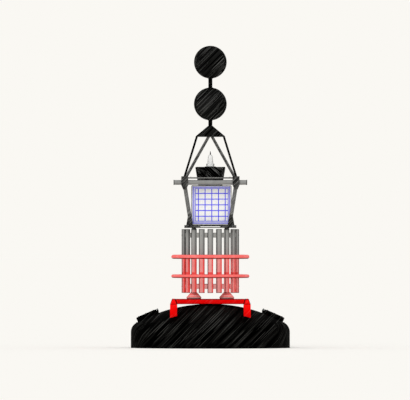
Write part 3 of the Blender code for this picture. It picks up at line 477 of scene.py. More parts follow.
def mottled(name, colour, grain, constants, depth=0.3 * MILLIMETRE, drop=0.8):
    """A finish with paler and darker patches of a real size."""
    tree, surface = shader(name, constants)
    share = patched(tree, 1 / grain, 3.0, {"From Min": 0.35, "From Max": 0.65})
    tones = {0: share, 6: solid(shaded(colour, drop)), 7: solid(colour)}
    mixed = place(tree, "ShaderNodeMix", tones, data_type="RGBA").outputs[2]
    coated(tree, surface, mixed, grain, depth)
    return tree, surface


def make_plain_finishes(colours):
    matt = {"Roughness": 0.8, "Specular IOR Level": 0.05}
    glazed = {"Roughness": 0.4, "Specular IOR Level": 0.15}
    hair = 0.05 * MILLIMETRE
    # Hot-dip zinc: dull metal, with a spangle of a few centimetres.
    mottled("galvanised steel", colours.zinc, 0.02, {"Roughness": 0.45, "Metallic": 1.0})
    # Cast zinc of the anodes: chalky and pitted, with no shine.
    mottled("cast zinc", colours.zinc, 0.015, {"Roughness": 0.9, "Metallic": 0.4}, 1 * MILLIMETRE, 0.6)
    # Tarred cast iron: matt and pitted.
    mottled("tarred cast iron", colours.iron, 0.03, {"Roughness": 0.85}, 2 * MILLIMETRE, 0.5)
    # Primer along worn edges: dull brown-black.
    mottled("worn dark primer", colours.primer, 0.02, matt)
    # Tube paint: even mid grey with a soft shine along the tube.
    mottled("tube enamel", colours.tube_grey, 0.08, {"Roughness": 0.5, "Specular IOR Level": 0.2}, drop=0.85)
    # Pale anodised aluminium: satin, read more as off-white than as metal.
    satin = {"Roughness": 0.5, "Specular IOR Level": 0.3}
    mottled("anodised aluminium", colours.aluminium, 0.05, satin, hair, 0.93)
    # Moulded rubber and black plastic: matt.
    mottled("moulded rubber", colours.rubber, 0.02, matt, drop=0.6)
    # Printed solar laminate under glass: even colours with a slight sheen.
    mottled("solar cell", colours.cell, 0.06, glazed, hair, 0.96)
    mottled("cell line", colours.cell_line, 0.06, glazed, hair, 0.9)
    mottled("panel band", colours.band, 0.06, glazed, hair, 0.92)
    mottled("panel border", colours.border, 0.06, glazed, hair, 0.95)


def make_acrylic(colours):
    """Frosted acrylic: white all through, with a grey gloss where the thick wall is seen edge-on."""
    look = {"Roughness": 0.3, "IOR": 1.49, "Specular IOR Level": 0.3}
    tree, surface = mottled("frosted acrylic", colours.lens, 0.03, look, 0.05 * MILLIMETRE, 0.97)
    rim = place(tree, "ShaderNodeBsdfGlossy", {"Color": solid(colours.lens_rim), "Roughness": 0.5})
    facing = place(tree, "ShaderNodeLayerWeight", {"Blend": 0.5}).outputs["Facing"]
    edge_on = {"Value": facing, "From Min": 0.4, "From Max": 0.56}
    share = place(tree, "ShaderNodeMapRange", edge_on)
    both = place(tree, "ShaderNodeMixShader", {0: share, 1: surface, 2: rim})
    tree.links.new(both.outputs[0], tree.nodes["Material Output"].inputs["Surface"])


# Shapes

def settled(piece):
    """Turns an object's evaluated shape into its plain mesh, and removes its modifiers."""
    bpy.context.view_layer.update()
    graph = bpy.context.evaluated_depsgraph_get()
    mesh = bpy.data.meshes.new_from_object(piece.evaluated_get(graph), depsgraph=graph)
    mesh.name = piece.name
    piece.modifiers.clear()
    piece.data = mesh
    return piece


def smoothed(piece):
    piece.data.shade_smooth()
    piece.data.set_sharp_from_angle(angle=SMOOTH_ANGLE)
    return piece


def added(name, shape, material):
    """An object of a bmesh, with its doubles merged and its faces pointing out."""
    bmesh.ops.remove_doubles(shape, verts=shape.verts, dist=MERGE_DISTANCE)
    bmesh.ops.recalc_face_normals(shape, faces=shape.faces)
    mesh = bpy.data.meshes.new(name)
    shape.to_mesh(mesh)
    shape.free()
    mesh.materials.append(finish(material))
    piece = bpy.data.objects.new(name, mesh)
    bpy.context.scene.collection.objects.link(piece)
    return smoothed(piece)


def bevelled(piece, width, segments=2, edging=None):
    """Rounds the sharp edges, which may show an edging material where the paint has worn."""
    modifier = piece.modifiers.new("rounded edges", "BEVEL")
    modifier.width = width
    modifier.segments = segments
    modifier.limit_method = "ANGLE"
    modifier.angle_limit = SHARP_ANGLE
    if edging:
        piece.data.materials.append(finish(edging))
        modifier.material = len(piece.data.materials) - 1
    return smoothed(settled(piece))


def repainted(piece, material, chosen):
    """Gives the faces that a rule chooses another finish."""
    piece.data.materials.append(finish(material))
    index = len(piece.data.materials) - 1
    for face in piece.data.polygons:
        if chosen(face):
            face.material_index = index


def delivered(piece, body, slot, *nodes):
    """Hands a finished piece to the frame: what it rides on, and the nodes that it stands for, which it
    hides. The slot is not used.
    """
    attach(piece, body)
    if nodes:
        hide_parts(*nodes)


def node_copy(node):
    """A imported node's shape as a bmesh, with its triangles joined up."""
    shape = bmesh.new()
    shape.from_mesh(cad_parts[node].data)
    bmesh.ops.remove_doubles(shape, verts=shape.verts, dist=MERGE_DISTANCE)
    return shape


def refined(name, node, material, width, slot, edging=None, body="buoy"):
    """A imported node's shape with its flat faces joined and its edges rounded, handed over in its place."""
    shape = node_copy(node)
    bmesh.ops.dissolve_limit(shape, angle_limit=FLAT_ANGLE, verts=shape.verts, edges=shape.edges)
    piece = bevelled(added(name, shape, material), width, edging=edging)
    delivered(piece, body, slot, node)
    return piece


def scored(piece, height):
    """Cuts a piece's faces along a level line, so that the finish may change there."""
    shape = bmesh.new()
    shape.from_mesh(piece.data)
    every = shape.verts[:] + shape.edges[:] + shape.faces[:]
    level = {"plane_co": (0, 0, height), "plane_no": (0, 0, 1)}
    bmesh.ops.bisect_plane(shape, geom=every, dist=MERGE_DISTANCE, **level)
    shape.to_mesh(piece.data)
    shape.free()


def middle(node):
    low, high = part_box(node)
    return (low + high) / 2


def meridian(node, axis):
    """A turned node's outline as (radius, height) points along its axis, from its high end."""
    shape = node_copy(node)
    bmesh.ops.transform(shape, matrix=axis.inverted(), verts=shape.verts)
    on_line = {vertex for vertex in shape.verts if abs(vertex.co.y) < ON_AXIS and vertex.co.x > -ON_AXIS}
    near = {
        vertex: [edge.other_vert(vertex) for edge in vertex.link_edges if edge.other_vert(vertex) in on_line]
        for vertex in on_line
    }
    ends = [vertex for vertex in on_line if len(near[vertex]) == 1]
    walked = [max(ends, key=lambda vertex: vertex.co.z)]
    while True:
        onward = [vertex for vertex in near[walked[-1]] if vertex not in walked]
        if not onward:
            break
        walked.append(onward[0])
    points = [(vertex.co.x, vertex.co.z) for vertex in walked]
    shape.free()
    return [(0, points[0][1])] + points + [(0, points[-1][1])]


def eased(profile, width):
    """Rounds an outline's corners over a width along each side."""
    points = [Vector(point) for point in profile]
    result = [tuple(points[0])]
    for before, corner, after in zip(points, points[1:], points[2:]):
        back = before - corner
        onward = after - corner
        if back.length < ON_AXIS or onward.length < ON_AXIS or back.angle(-onward) < SHARP_ANGLE / 2:
            result.append(tuple(corner))
            continue
        start = corner + back.normalized() * min(width, back.length / 3)
        stop = corner + onward.normalized() * min(width, onward.length / 3)
        for step in range(EASED_STEPS + 1):
            share = step / EASED_STEPS
            bent = start * (1 - share) ** 2 + corner * 2 * share * (1 - share) + stop * share**2
            result.append(tuple(bent))
    result.append(tuple(points[-1]))
    return result


def spun(name, profile, steps, material, slot, *nodes, axis=UPRIGHT, closed=False):
    """A body of revolution about an axis, from (radius, height) points, which may be a closed loop."""
    shape = bmesh.new()
    points = [shape.verts.new((radius, 0, height)) for radius, height in profile]
    ends = points[1:] + points[:1] if closed else points[1:]
    edges = [shape.edges.new(pair) for pair in zip(points, ends)]
    turn = {"cent": (0, 0, 0), "axis": (0, 0, 1), "angle": FULL_TURN, "steps": steps, "use_merge": True}
    bmesh.ops.spin(shape, geom=points + edges, **turn)
    bmesh.ops.transform(shape, matrix=axis, verts=shape.verts)
    piece = added(name, shape, material)
    delivered(piece, "buoy", slot, *nodes)
    return piece


def respun(name, node, steps, material, width, slot, axis=None):
    """A turned node made again with finer steps and rounded edges, handed over in its place."""
    axis = axis or Matrix.Translation((middle(node).x, middle(node).y, 0))
    return spun(name, eased(meridian(node, axis), width), steps, material, slot, node, axis=axis)


def bead(name, radius, height, width, steps, material, axis=UPRIGHT):
    """A weld bead or gasket of round section about an axis, among the buoy's black pieces."""
    half = width / 2
    section = []
    for step in range(BEAD_SIDES):
        angle = FULL_TURN * step / BEAD_SIDES
        section.append((radius + half * math.cos(angle), height + half * math.sin(angle)))
    spun(name, section, steps, material, "black_enamel", axis=axis, closed=True)


def lofted(name, rings, material, spot=UPRIGHT):
    """A closed body between two rings of as many points."""
    shape = bmesh.new()
    loops = [[shape.verts.new(point) for point in ring] for ring in rings]
    shape.faces.new(loops[0])
    shape.faces.new(list(reversed(loops[1])))
    count = len(loops[0])
    for index in range(count):
        after = (index + 1) % count
        shape.faces.new((loops[0][index], loops[1][index], loops[1][after], loops[0][after]))
    bmesh.ops.transform(shape, matrix=spot, verts=shape.verts)
    return added(name, shape, material)


def strut(name, node, material, slot):
    """A leaning round bar with level ends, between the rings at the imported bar's two ends, in its place."""
    shape = node_copy(node)
    low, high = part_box(node)
    rings = []
    for level in (low.z, high.z):
        points = [vertex.co.copy() for vertex in shape.verts if abs(vertex.co.z - level) < ON_AXIS]
        centre = sum(points, Vector()) / len(points)
        radius = max((point - centre).length for point in points)
        turns = (FULL_TURN * step / STRUT_STEPS for step in range(STRUT_STEPS))
        offsets = (Vector((radius * math.cos(turn), radius * math.sin(turn), 0)) for turn in turns)
        rings.append([centre + offset for offset in offsets])
    shape.free()
    delivered(lofted(name, rings, material), "buoy", slot, node)


def rounded_outline(half_width, half_height, radius):
    """A rectangle with round corners, as (x, z) points about its middle."""
    points = []
    for corner, (x, z) in enumerate(((1, 1), (-1, 1), (-1, -1), (1, -1))):
        for step in range(OUTLINE_STEPS + 1):
            angle = QUARTER_TURN * (corner + step / OUTLINE_STEPS)
            point_x = x * (half_width - radius) + radius * math.cos(angle)
            point_z = z * (half_height - radius) + radius * math.sin(angle)
            points.append((point_x, point_z))
    return points


def plate(name, outline, depths, material, spot):
    """A closed plate with an (x, z) outline, between two depths along Y."""
    return lofted(name, [[(x, y, z) for x, z in outline] for y in depths], material, spot)


def surround(name, outlines, depths, material, spot):
    """A closed ring between two outlines of as many points, and between two depths along Y."""
    shape = bmesh.new()
    rings = [[shape.verts.new((x, y, z)) for x, z in outline] for y in depths for outline in outlines]
    count = len(outlines[0])
    for index in range(count):
        after = (index + 1) % count
        for first, second in ((0, 1), (1, 3), (3, 2), (2, 0)):
            start, stop = rings[first], rings[second]
            shape.faces.new((start[index], stop[index], stop[after], start[after]))
    bmesh.ops.transform(shape, matrix=spot, verts=shape.verts)
    return added(name, shape, material)


# Geometry Nodes

FLOAT_SOCKET = "NodeSocketFloat"
COUNT_SOCKET = "NodeSocketInt"
SHAPE_SOCKET = "NodeSocketGeometry"
MATERIAL_SOCKET = "NodeSocketMaterial"


def new_tree(name, *lengths, **others):
    """An empty Geometry Nodes tree with named inputs, and its input node's sockets."""
    tree = bpy.data.node_groups.new(name, "GeometryNodeTree")
    tree.interface.new_socket("Geometry", in_out="INPUT", socket_type=SHAPE_SOCKET)
    for label in lengths:
        tree.interface.new_socket(label, in_out="INPUT", socket_type=FLOAT_SOCKET)
    for label, kind in others.items():
        tree.interface.new_socket(label, in_out="INPUT", socket_type=kind)
    tree.interface.new_socket("Material", in_out="INPUT", socket_type=MATERIAL_SOCKET)
    tree.interface.new_socket("Geometry", in_out="OUTPUT", socket_type=SHAPE_SOCKET)
    return tree, place(tree, "NodeGroupInput").outputs


def end_tree(tree, shape, material):
    """Ends a tree in Realize Instances and Set Material."""
    real = place(tree, "GeometryNodeRealizeInstances", {0: shape})
    painted = place(tree, "GeometryNodeSetMaterial", {"Geometry": real, "Material": material})
    place(tree, "NodeGroupOutput", {0: painted})
    return tree


def grown(name, tree, values, carrier=None):
    """The plain mesh that a tree makes on a carrier mesh, with its inputs set by identifier."""
    piece = bpy.data.objects.new(name, carrier or bpy.data.meshes.new(name))
    modifier = piece.modifiers.new("pattern", "NODES")
    modifier.node_group = tree
    for item in tree.interface.items_tree:
        if item.item_type == "SOCKET" and item.in_out == "INPUT" and item.name in values:
            modifier[item.identifier] = values[item.name]
    bpy.context.scene.collection.objects.link(piece)
    return smoothed(settled(piece))


def facing_points(name, places):
    """A carrier mesh of points, each with the direction that it faces."""
    carrier = bpy.data.meshes.new(name)
    carrier.from_pydata([tuple(point) for point, _ in places], [], [])
    facings = carrier.attributes.new("facing", "FLOAT_VECTOR", "POINT")
    facings.data.foreach_set("vector", [value for _, facing in places for value in facing])
    return carrier


def spread(tree, points, shape):
    """Instances of a shape on points, turned so that its Z axis follows each point's facing."""
    facing = place(tree, "GeometryNodeInputNamedAttribute", {"Name": "facing"}, data_type="FLOAT_VECTOR")
    turn = place(tree, "FunctionNodeAlignRotationToVector", {"Vector": facing}, axis="Z")
    spots = {"Points": points, "Instance": shape, "Rotation": turn}
    return place(tree, "GeometryNodeInstanceOnPoints", spots)


def bolt_tree():
    """A washer, a hexagon head and a stud end on each point, along the point's facing."""
    tree, given = new_tree("bolts", "Head radius")
    head = place(tree, "GeometryNodeJoinGeometry")
    # Sides, radius, thickness and foot height, as shares of the head's radius.
    stages = ((20, 1.25, 0.22, 0), (6, 1, 0.6, 0.2), (12, 0.5, 0.25, 0.75))
    for sides, radius_share, thickness_share, foot_share in stages:
        lift_share = foot_share + thickness_share / 2
        radius, depth, lift = (
            place(tree, "ShaderNodeMath", {0: given["Head radius"], 1: share}, operation="MULTIPLY")
            for share in (radius_share, thickness_share, lift_share)
        )
        disc_sizes = {"Vertices": sides, "Radius": radius, "Depth": depth}
        disc = place(tree, "GeometryNodeMeshCylinder", disc_sizes)
        shift = place(tree, "ShaderNodeCombineXYZ", {2: lift})
        raised = place(tree, "GeometryNodeTransform", {"Geometry": disc, "Translation": shift})
        tree.links.new(raised.outputs[0], head.inputs[0])
    return end_tree(tree, spread(tree, given["Geometry"], head), given["Material"])


def bolts(name, places, radius, material="galvanised steel", slot="galvanised_steel", body="buoy"):
    """Bolt heads at (point, facing) places."""
    tree = bpy.data.node_groups.get("bolts") or bolt_tree()
    values = {"Head radius": radius, "Material": finish(material)}
    delivered(grown(name, tree, values, facing_points(name, places)), body, slot)


def block_tree():
    """A block on each point, whose height runs along the point's facing."""
    tree, given = new_tree("blocks", "Length", "Width", "Height")
    sides = {0: given["Length"], 1: given["Width"], 2: given["Height"]}
    bar = place(tree, "ShaderNodeCombineXYZ", sides)
    block = place(tree, "GeometryNodeMeshCube", {"Size": bar})
    return end_tree(tree, spread(tree, given["Geometry"], block), given["Material"])


def blocks(name, places, sides, material, slot, width):
    """Rounded blocks centred on (point, facing) places, with their length, width and height."""
    tree = bpy.data.node_groups.get("blocks") or block_tree()
    values = dict(zip(("Length", "Width", "Height"), sides)) | {"Material": finish(material)}
    made = bevelled(grown(name, tree, values, facing_points(name, places)), width)
    delivered(made, "buoy", slot)


def collar_tree():
    """A short round collar on each point, along the point's facing."""
    tree, given = new_tree("collars", "Radius", "Height")
    round_bar = {"Vertices": 40, "Radius": given["Radius"], "Depth": given["Height"]}
    collar = place(tree, "GeometryNodeMeshCylinder", round_bar)
    return end_tree(tree, spread(tree, given["Geometry"], collar), given["Material"])


def ring_tree():
    """A round tube on four flat arms that reach in at the corners."""
    lengths = ("Ring radius", "Tube radius", "Arm reach", "Arm width", "Arm height")
    tree, given = new_tree("ring rail", *lengths)
    large = {"Resolution": 160, "Radius": given["Ring radius"]}
    path = place(tree, "GeometryNodeCurvePrimitiveCircle", large)
    small = {"Resolution": 24, "Radius": given["Tube radius"]}
    tube = place(tree, "GeometryNodeCurvePrimitiveCircle", small)
    swept = {"Curve": path, "Profile Curve": tube}
    ring = place(tree, "GeometryNodeCurveToMesh", swept)
    ends = {0: given["Ring radius"], 1: given["Arm reach"]}
    length = place(tree, "ShaderNodeMath", ends, operation="SUBTRACT")
    total = place(tree, "ShaderNodeMath", ends, operation="ADD")
    centre = place(tree, "ShaderNodeMath", {0: total, 1: 0.5}, operation="MULTIPLY")
    corners = place(tree, "GeometryNodeMeshCircle", {"Vertices": 4, "Radius": centre})
    eighth = {"Geometry": corners, "Rotation": (0, 0, QUARTER_TURN / 2)}
    turned = place(tree, "GeometryNodeTransform", eighth)
    sides = {0: length, 1: given["Arm width"], 2: given["Arm height"]}
    bar = place(tree, "ShaderNodeCombineXYZ", sides)
    arm = place(tree, "GeometryNodeMeshCube", {"Size": bar})
    outward = place(tree, "GeometryNodeInputPosition")
    turn = place(tree, "FunctionNodeAlignRotationToVector", {"Vector": outward}, axis="X")
    spots = {"Points": turned, "Instance": arm, "Rotation": turn}
    arms = place(tree, "GeometryNodeInstanceOnPoints", spots)
    whole = place(tree, "GeometryNodeJoinGeometry", {0: ring})
    tree.links.new(arms.outputs[0], whole.inputs[0])
    return end_tree(tree, whole, given["Material"])


def slat_tree():
    """Upright slats round an arc about the axis, centred on the front."""
    lengths = ("Cage radius", "Slat width", "Slat thickness", "Slat height", "Pitch")
    tree, given = new_tree("slats", *lengths, **{"Slat count": COUNT_SOCKET})
    points = place(tree, "GeometryNodeMeshLine", {"Count": given["Slat count"]})
    index = place(tree, "GeometryNodeInputIndex")
    last = place(tree, "ShaderNodeMath", {0: given["Slat count"], 1: 1.0}, operation="SUBTRACT")
    half = place(tree, "ShaderNodeMath", {0: last, 1: 0.5}, operation="MULTIPLY")
    step = place(tree, "ShaderNodeMath", {0: index, 1: half}, operation="SUBTRACT")
    angle = place(tree, "ShaderNodeMath", {0: step, 1: given["Pitch"]}, operation="MULTIPLY")
    turn = place(tree, "ShaderNodeCombineXYZ", {2: angle})
    inset = {0: given["Slat thickness"], 1: -0.5, 2: given["Cage radius"]}
    reach = place(tree, "ShaderNodeMath", inset, operation="MULTIPLY_ADD")
    sine = place(tree, "ShaderNodeMath", {0: angle}, operation="SINE")
    cosine = place(tree, "ShaderNodeMath", {0: angle}, operation="COSINE")
    right = place(tree, "ShaderNodeMath", {0: sine, 1: reach}, operation="MULTIPLY")
    back = place(tree, "ShaderNodeMath", {0: cosine, 1: reach}, operation="MULTIPLY")
    front = place(tree, "ShaderNodeMath", {0: back, 1: -1.0}, operation="MULTIPLY")
    lift = place(tree, "ShaderNodeMath", {0: given["Slat height"], 1: 0.5}, operation="MULTIPLY")
    spot = place(tree, "ShaderNodeCombineXYZ", {0: right, 1: front, 2: lift})
    stood = place(tree, "GeometryNodeSetPosition", {"Geometry": points, "Position": spot})
    sides = {0: given["Slat width"], 1: given["Slat thickness"], 2: given["Slat height"]}
    bar = place(tree, "ShaderNodeCombineXYZ", sides)
    slat = place(tree, "GeometryNodeMeshCube", {"Size": bar})
    spots = {"Points": stood, "Instance": slat, "Rotation": turn}
    slats = place(tree, "GeometryNodeInstanceOnPoints", spots)
    return end_tree(tree, slats, given["Material"])


def hoop_tree():
    """A quarter of a hoop with a flat section, centred on the front."""
    tree, given = new_tree("hoop", "Hoop radius", "Hoop thickness", "Hoop height", "Rise")
    bend = {0: given["Hoop thickness"], 1: 0.5, 2: given["Hoop radius"]}
    radius = place(tree, "ShaderNodeMath", bend, operation="MULTIPLY_ADD")
    start = -1.5 * QUARTER_TURN
    sweep = {"Resolution": 40, "Radius": radius, "Start Angle": start, "Sweep Angle": QUARTER_TURN}
    arc = place(tree, "GeometryNodeCurveArc", sweep, mode="RADIUS")
    section = {"Width": given["Hoop thickness"], "Height": given["Hoop height"]}
    flat = place(tree, "GeometryNodeCurvePrimitiveQuadrilateral", section)
    swept = {"Curve": arc, "Profile Curve": flat, "Fill Caps": True}
    hoop = place(tree, "GeometryNodeCurveToMesh", swept)
    rise = place(tree, "ShaderNodeCombineXYZ", {2: given["Rise"]})
    raised = place(tree, "GeometryNodeTransform", {"Geometry": hoop, "Translation": rise})
    return end_tree(tree, raised, given["Material"])


def cell_tree():
    """A grid of cells in the XZ plane, whose outer columns and rows are narrower than the rest."""
    lengths = ("Width", "Height", "Column pitch", "Row pitch", "Gap", "Thickness")
    tree, given = new_tree("cells", *lengths, Columns=COUNT_SOCKET, Rows=COUNT_SOCKET)
    grid = {0: given["Columns"], 1: given["Rows"]}
    count = place(tree, "ShaderNodeMath", grid, operation="MULTIPLY")
    points = place(tree, "GeometryNodeMeshLine", {"Count": count})
    index = place(tree, "GeometryNodeInputIndex")
    split = {0: index, 1: given["Columns"]}
    column = place(tree, "ShaderNodeMath", split, operation="MODULO")
    rows_before = place(tree, "ShaderNodeMath", split, operation="DIVIDE")
    row = place(tree, "ShaderNodeMath", {0: rows_before}, operation="FLOOR")
    spans = []
    for order, number, pitch, whole in (
        (column, given["Columns"], given["Column pitch"], given["Width"]),
        (row, given["Rows"], given["Row pitch"], given["Height"]),
    ):
        half_number = place(tree, "ShaderNodeMath", {0: number, 1: 0.5}, operation="MULTIPLY")
        first = place(tree, "ShaderNodeMath", {0: order, 1: half_number}, operation="SUBTRACT")
        high = place(tree, "ShaderNodeMath", {0: whole, 1: 0.5}, operation="MULTIPLY")
        low = place(tree, "ShaderNodeMath", {0: high, 1: -1.0}, operation="MULTIPLY")
        lines = []
        for shift in (0.0, 1.0):
            line = place(tree, "ShaderNodeMath", {0: first, 1: shift}, operation="ADD")
            spot = place(tree, "ShaderNodeMath", {0: line, 1: pitch}, operation="MULTIPLY")
            over = place(tree, "ShaderNodeMath", {0: spot, 1: low}, operation="MAXIMUM")
            lines.append(place(tree, "ShaderNodeMath", {0: over, 1: high}, operation="MINIMUM"))
        across = place(tree, "ShaderNodeMath", {0: lines[1], 1: lines[0]}, operation="SUBTRACT")
        both = place(tree, "ShaderNodeMath", {0: lines[1], 1: lines[0]}, operation="ADD")
        centre = place(tree, "ShaderNodeMath", {0: both, 1: 0.5}, operation="MULTIPLY")
        width = place(tree, "ShaderNodeMath", {0: across, 1: given["Gap"]}, operation="SUBTRACT")
        spans.append((centre, width))
    spot = place(tree, "ShaderNodeCombineXYZ", {0: spans[0][0], 2: spans[1][0]})
    stood = place(tree, "GeometryNodeSetPosition", {"Geometry": points, "Position": spot})
    sides = {0: spans[0][1], 1: given["Thickness"], 2: spans[1][1]}
    scale = place(tree, "ShaderNodeCombineXYZ", sides)
    tile = place(tree, "GeometryNodeMeshCube", {"Size": (1, 1, 1)})
    spots = {"Points": stood, "Instance": tile, "Scale": scale}
    cells = place(tree, "GeometryNodeInstanceOnPoints", spots)
    return end_tree(tree, cells, given["Material"])


# Pieces

def corners():
    """Each corner's front-rear sign, left-right sign and name."""
    return [(end, side, f"{END_NAMES[end]}_{SIDE_NAMES[side]}") for end in SIDES for side in SIDES]


def round_axis(count, radius, height, facing):
    """Places round the axis that all face one way."""
    turns = (FULL_TURN * (index + 0.5) / count for index in range(count))
    return [((radius * math.cos(turn), radius * math.sin(turn), height), facing) for turn in turns]


def four_bolts(node, end, centre, across, rise):
    """Places of four bolts on a node's front or rear face, about a centre."""
    low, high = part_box(node)
    face = low.y if end < 0 else high.y
    spots = [(centre.x + side * across, face, centre.z + up * rise) for side in SIDES for up in SIDES]
    return [(spot, (0, end, 0)) for spot in spots]


def float_profile(sizes):
    """The float's outline from the top down: deck, shoulder, side, chine and cone; and its welded seams."""
    low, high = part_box("float_hull")
    reach = high.x
    fillet = sizes.shoulder_fillet
    inner = reach - fillet
    centre = high.z - sizes.dome_radius
    fillet_height = centre + math.sqrt((sizes.dome_radius - fillet) ** 2 - inner**2)
    turn = math.asin(inner / (sizes.dome_radius - fillet))
    dome_steps = 28
    fillet_steps = 14
    points = []
    for step in range(dome_steps + 1):
        angle = turn * step / dome_steps
        points.append((sizes.dome_radius * math.sin(angle), centre + sizes.dome_radius * math.cos(angle)))
    for step in range(1, fillet_steps + 1):
        angle = turn + (QUARTER_TURN - turn) * step / fillet_steps
        points.append((inner + fillet * math.sin(angle), fillet_height + fillet * math.cos(angle)))
    points.append((reach, -sizes.side_depth))
    points.append((reach - sizes.chine, -sizes.side_depth - sizes.chine))
    points.append((sizes.bottom_flat, low.z))
    points.append((0, low.z))
    return points, {"deck": points[dome_steps], "chine": points[-3], "bottom": points[-2]}


class BUOY_OT_float(bpy.types.Operator):
    """Adds the float with its welds, the tail tube with its anodes, the ballast and the mooring eyes"""

    bl_idname = "buoy.float"
    bl_label = "Float and Tail"

    def execute(self, context):
        sizes = context.scene.buoy_sizes
        profile, seams = float_profile(sizes)
        spun("float_shell", profile, FLOAT_STEPS, "brushed black enamel", "black_enamel", "float_hull")
        for label, (radius, height) in seams.items():
            bead(f"{label}_weld", radius, height, sizes.weld_width, FLOAT_STEPS, "brushed black enamel")
        respun("tail_pipe", "tail_tube", PIPE_STEPS, "brushed black enamel", sizes.edge, "black_enamel")
        iron = "tarred cast iron"
        respun("ballast_casting", "ballast_weight", PIPE_STEPS, iron, 3 * sizes.edge, "cast_iron")
        # The tail tube's outline from its top: the axis, the flange's two corners, and the pipe below it.
        _, (rim_radius, _), (_, underside), (pipe_radius, _) = meridian("tail_tube", UPRIGHT)[:4]
        bolt_count = 12
        places = round_axis(bolt_count, (rim_radius + pipe_radius) / 2, underside, (0, 0, -1))
        bolts("tail_bolts", places, sizes.bolt_radius)
        anode_length, anode_width, anode_depth = 0.3, 0.07, 0.04
        anode_height = -1.1
        anode_count = 4
        places = []
        for index in range(anode_count):
            outward = Matrix.Rotation(FULL_TURN * (index + 0.5) / anode_count, 3, "Z") @ Vector((1, 0, 0))
            reach = pipe_radius + anode_depth / 2
            places.append((outward * reach + Vector((0, 0, anode_height)), outward))
        anode = (anode_length, anode_width, anode_depth)
        blocks("tail_anodes", places, anode, "cast zinc", "galvanised_steel", 2 * sizes.edge)
        for label in SIDE_NAMES.values():
            node = f"mooring_eye_{label}"
            refined(f"mooring_plate_{label}", node, "brushed black enamel", sizes.edge, "black_enamel")
        return {"FINISHED"}


class BUOY_OT_pockets(bpy.types.Operator):
    """Adds the battery pockets' rims, gaskets, covers, captive bolts and hinge pins"""

    bl_idname = "buoy.pockets"
    bl_label = "Battery Pockets"

    def execute(self, context):
        sizes = context.scene.buoy_sizes
        lean = math.asin(sizes.pocket_distance / sizes.dome_radius)
        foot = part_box("float_hull")[1].z - sizes.dome_radius * (1 - math.cos(lean))
        gasket_width = 0.008
        gasket_seat_share = 0.7
        gasket_height = sizes.coaming_height - gasket_seat_share * gasket_width
        bolt_count = 6
        bolt_circle = 0.172
        bolt_tilt = 0.11
        bolt_height = sizes.coaming_height + sizes.lid_thickness + 3 * MILLIMETRE
        # Shares of a normal past which a face is on the coaming's inner wall or the lid's underside.
        inward_share = 0.5
        underside_share = 0.9
        black = "brushed black enamel"
        for side, label in SIDE_NAMES.items():
            turn = Matrix.Rotation(0 if side > 0 else math.pi, 4, "Z")
            spot = Matrix.Translation((sizes.pocket_distance, 0, foot)) @ Matrix.Rotation(lean, 4, "Y")
            axis = turn @ spot @ Matrix.Translation((sizes.pocket_shift, 0, 0))
            up = axis.to_3x3() @ Vector((0, 0, 1))

            def inner_wall(face):
                inward = axis.translation - face.center
                level = inward - up * inward.dot(up)
                return face.normal.dot(level.normalized()) > inward_share

            node = f"pocket_coaming_{label}"
            rim = refined(f"pocket_rim_{label}", node, black, sizes.fine_edge, "black_enamel")
            repainted(rim, "brushed grey enamel", inner_wall)
            name = f"pocket_gasket_{label}"
            radius = sizes.pocket_radius - sizes.coaming_wall
            bead(name, radius, gasket_height, gasket_width, WIDE_STEPS, "moulded rubber", axis)
            name = f"pocket_cover_{label}"
            body = f"lid_{label}"
            cover = refined(name, f"pocket_lid_{label}", black, sizes.fine_edge, "black_enamel", body=body)
            repainted(cover, "brushed grey enamel", lambda face: face.normal.dot(up) < -underside_share)
            places = []
            for point, _ in round_axis(bolt_count, bolt_circle, bolt_height, (0, 0, 1)):
                outward = Vector((point[0], point[1], 0)).normalized()
                facing = Vector((outward.x * bolt_tilt, outward.y * bolt_tilt, 1))
                places.append((axis @ Vector(point), axis.to_3x3() @ facing))
            bolts(f"cover_bolts_{label}", places, sizes.small_bolt_radius, black, "black_enamel", body)
            zinc = "galvanised steel"
            refined(f"hinge_pin_{label}", f"lid_pin_{label}", zinc, sizes.fine_edge / 2, "galvanised_steel")
        return {"FINISHED"}


class BUOY_OT_base_frame(bpy.types.Operator):
    """Adds the red base rails, legs and cross beams, with their bolts"""

    bl_idname = "buoy.base_frame"
    bl_label = "Base Frame"

    def execute(self, context):
        sizes = context.scene.buoy_sizes
        rolled = 1.5 * sizes.edge
        red = "brushed red enamel"
        edging = "worn dark primer"
        for label in SIDE_NAMES.values():
            refined(f"frame_rail_{label}", f"base_rail_{label}", red, rolled, "red_enamel", edging)
        for *_, name in corners():
            refined(f"frame_leg_{name}", f"base_leg_{name}", red, sizes.edge, "red_enamel")
        bolt_inset = 0.05
        bolt_rise = 0.022
        places = []
        for end, label in END_NAMES.items():
            node = f"cross_beam_{label}"
            refined(f"frame_beam_{label}", node, red, rolled, "red_enamel", edging)
            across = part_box(node)[1].x - bolt_inset
            places += four_bolts(node, end, middle(node), across, bolt_rise)
        bolts("beam_bolts", places, sizes.bolt_radius, red, "red_enamel")
        return {"FINISHED"}


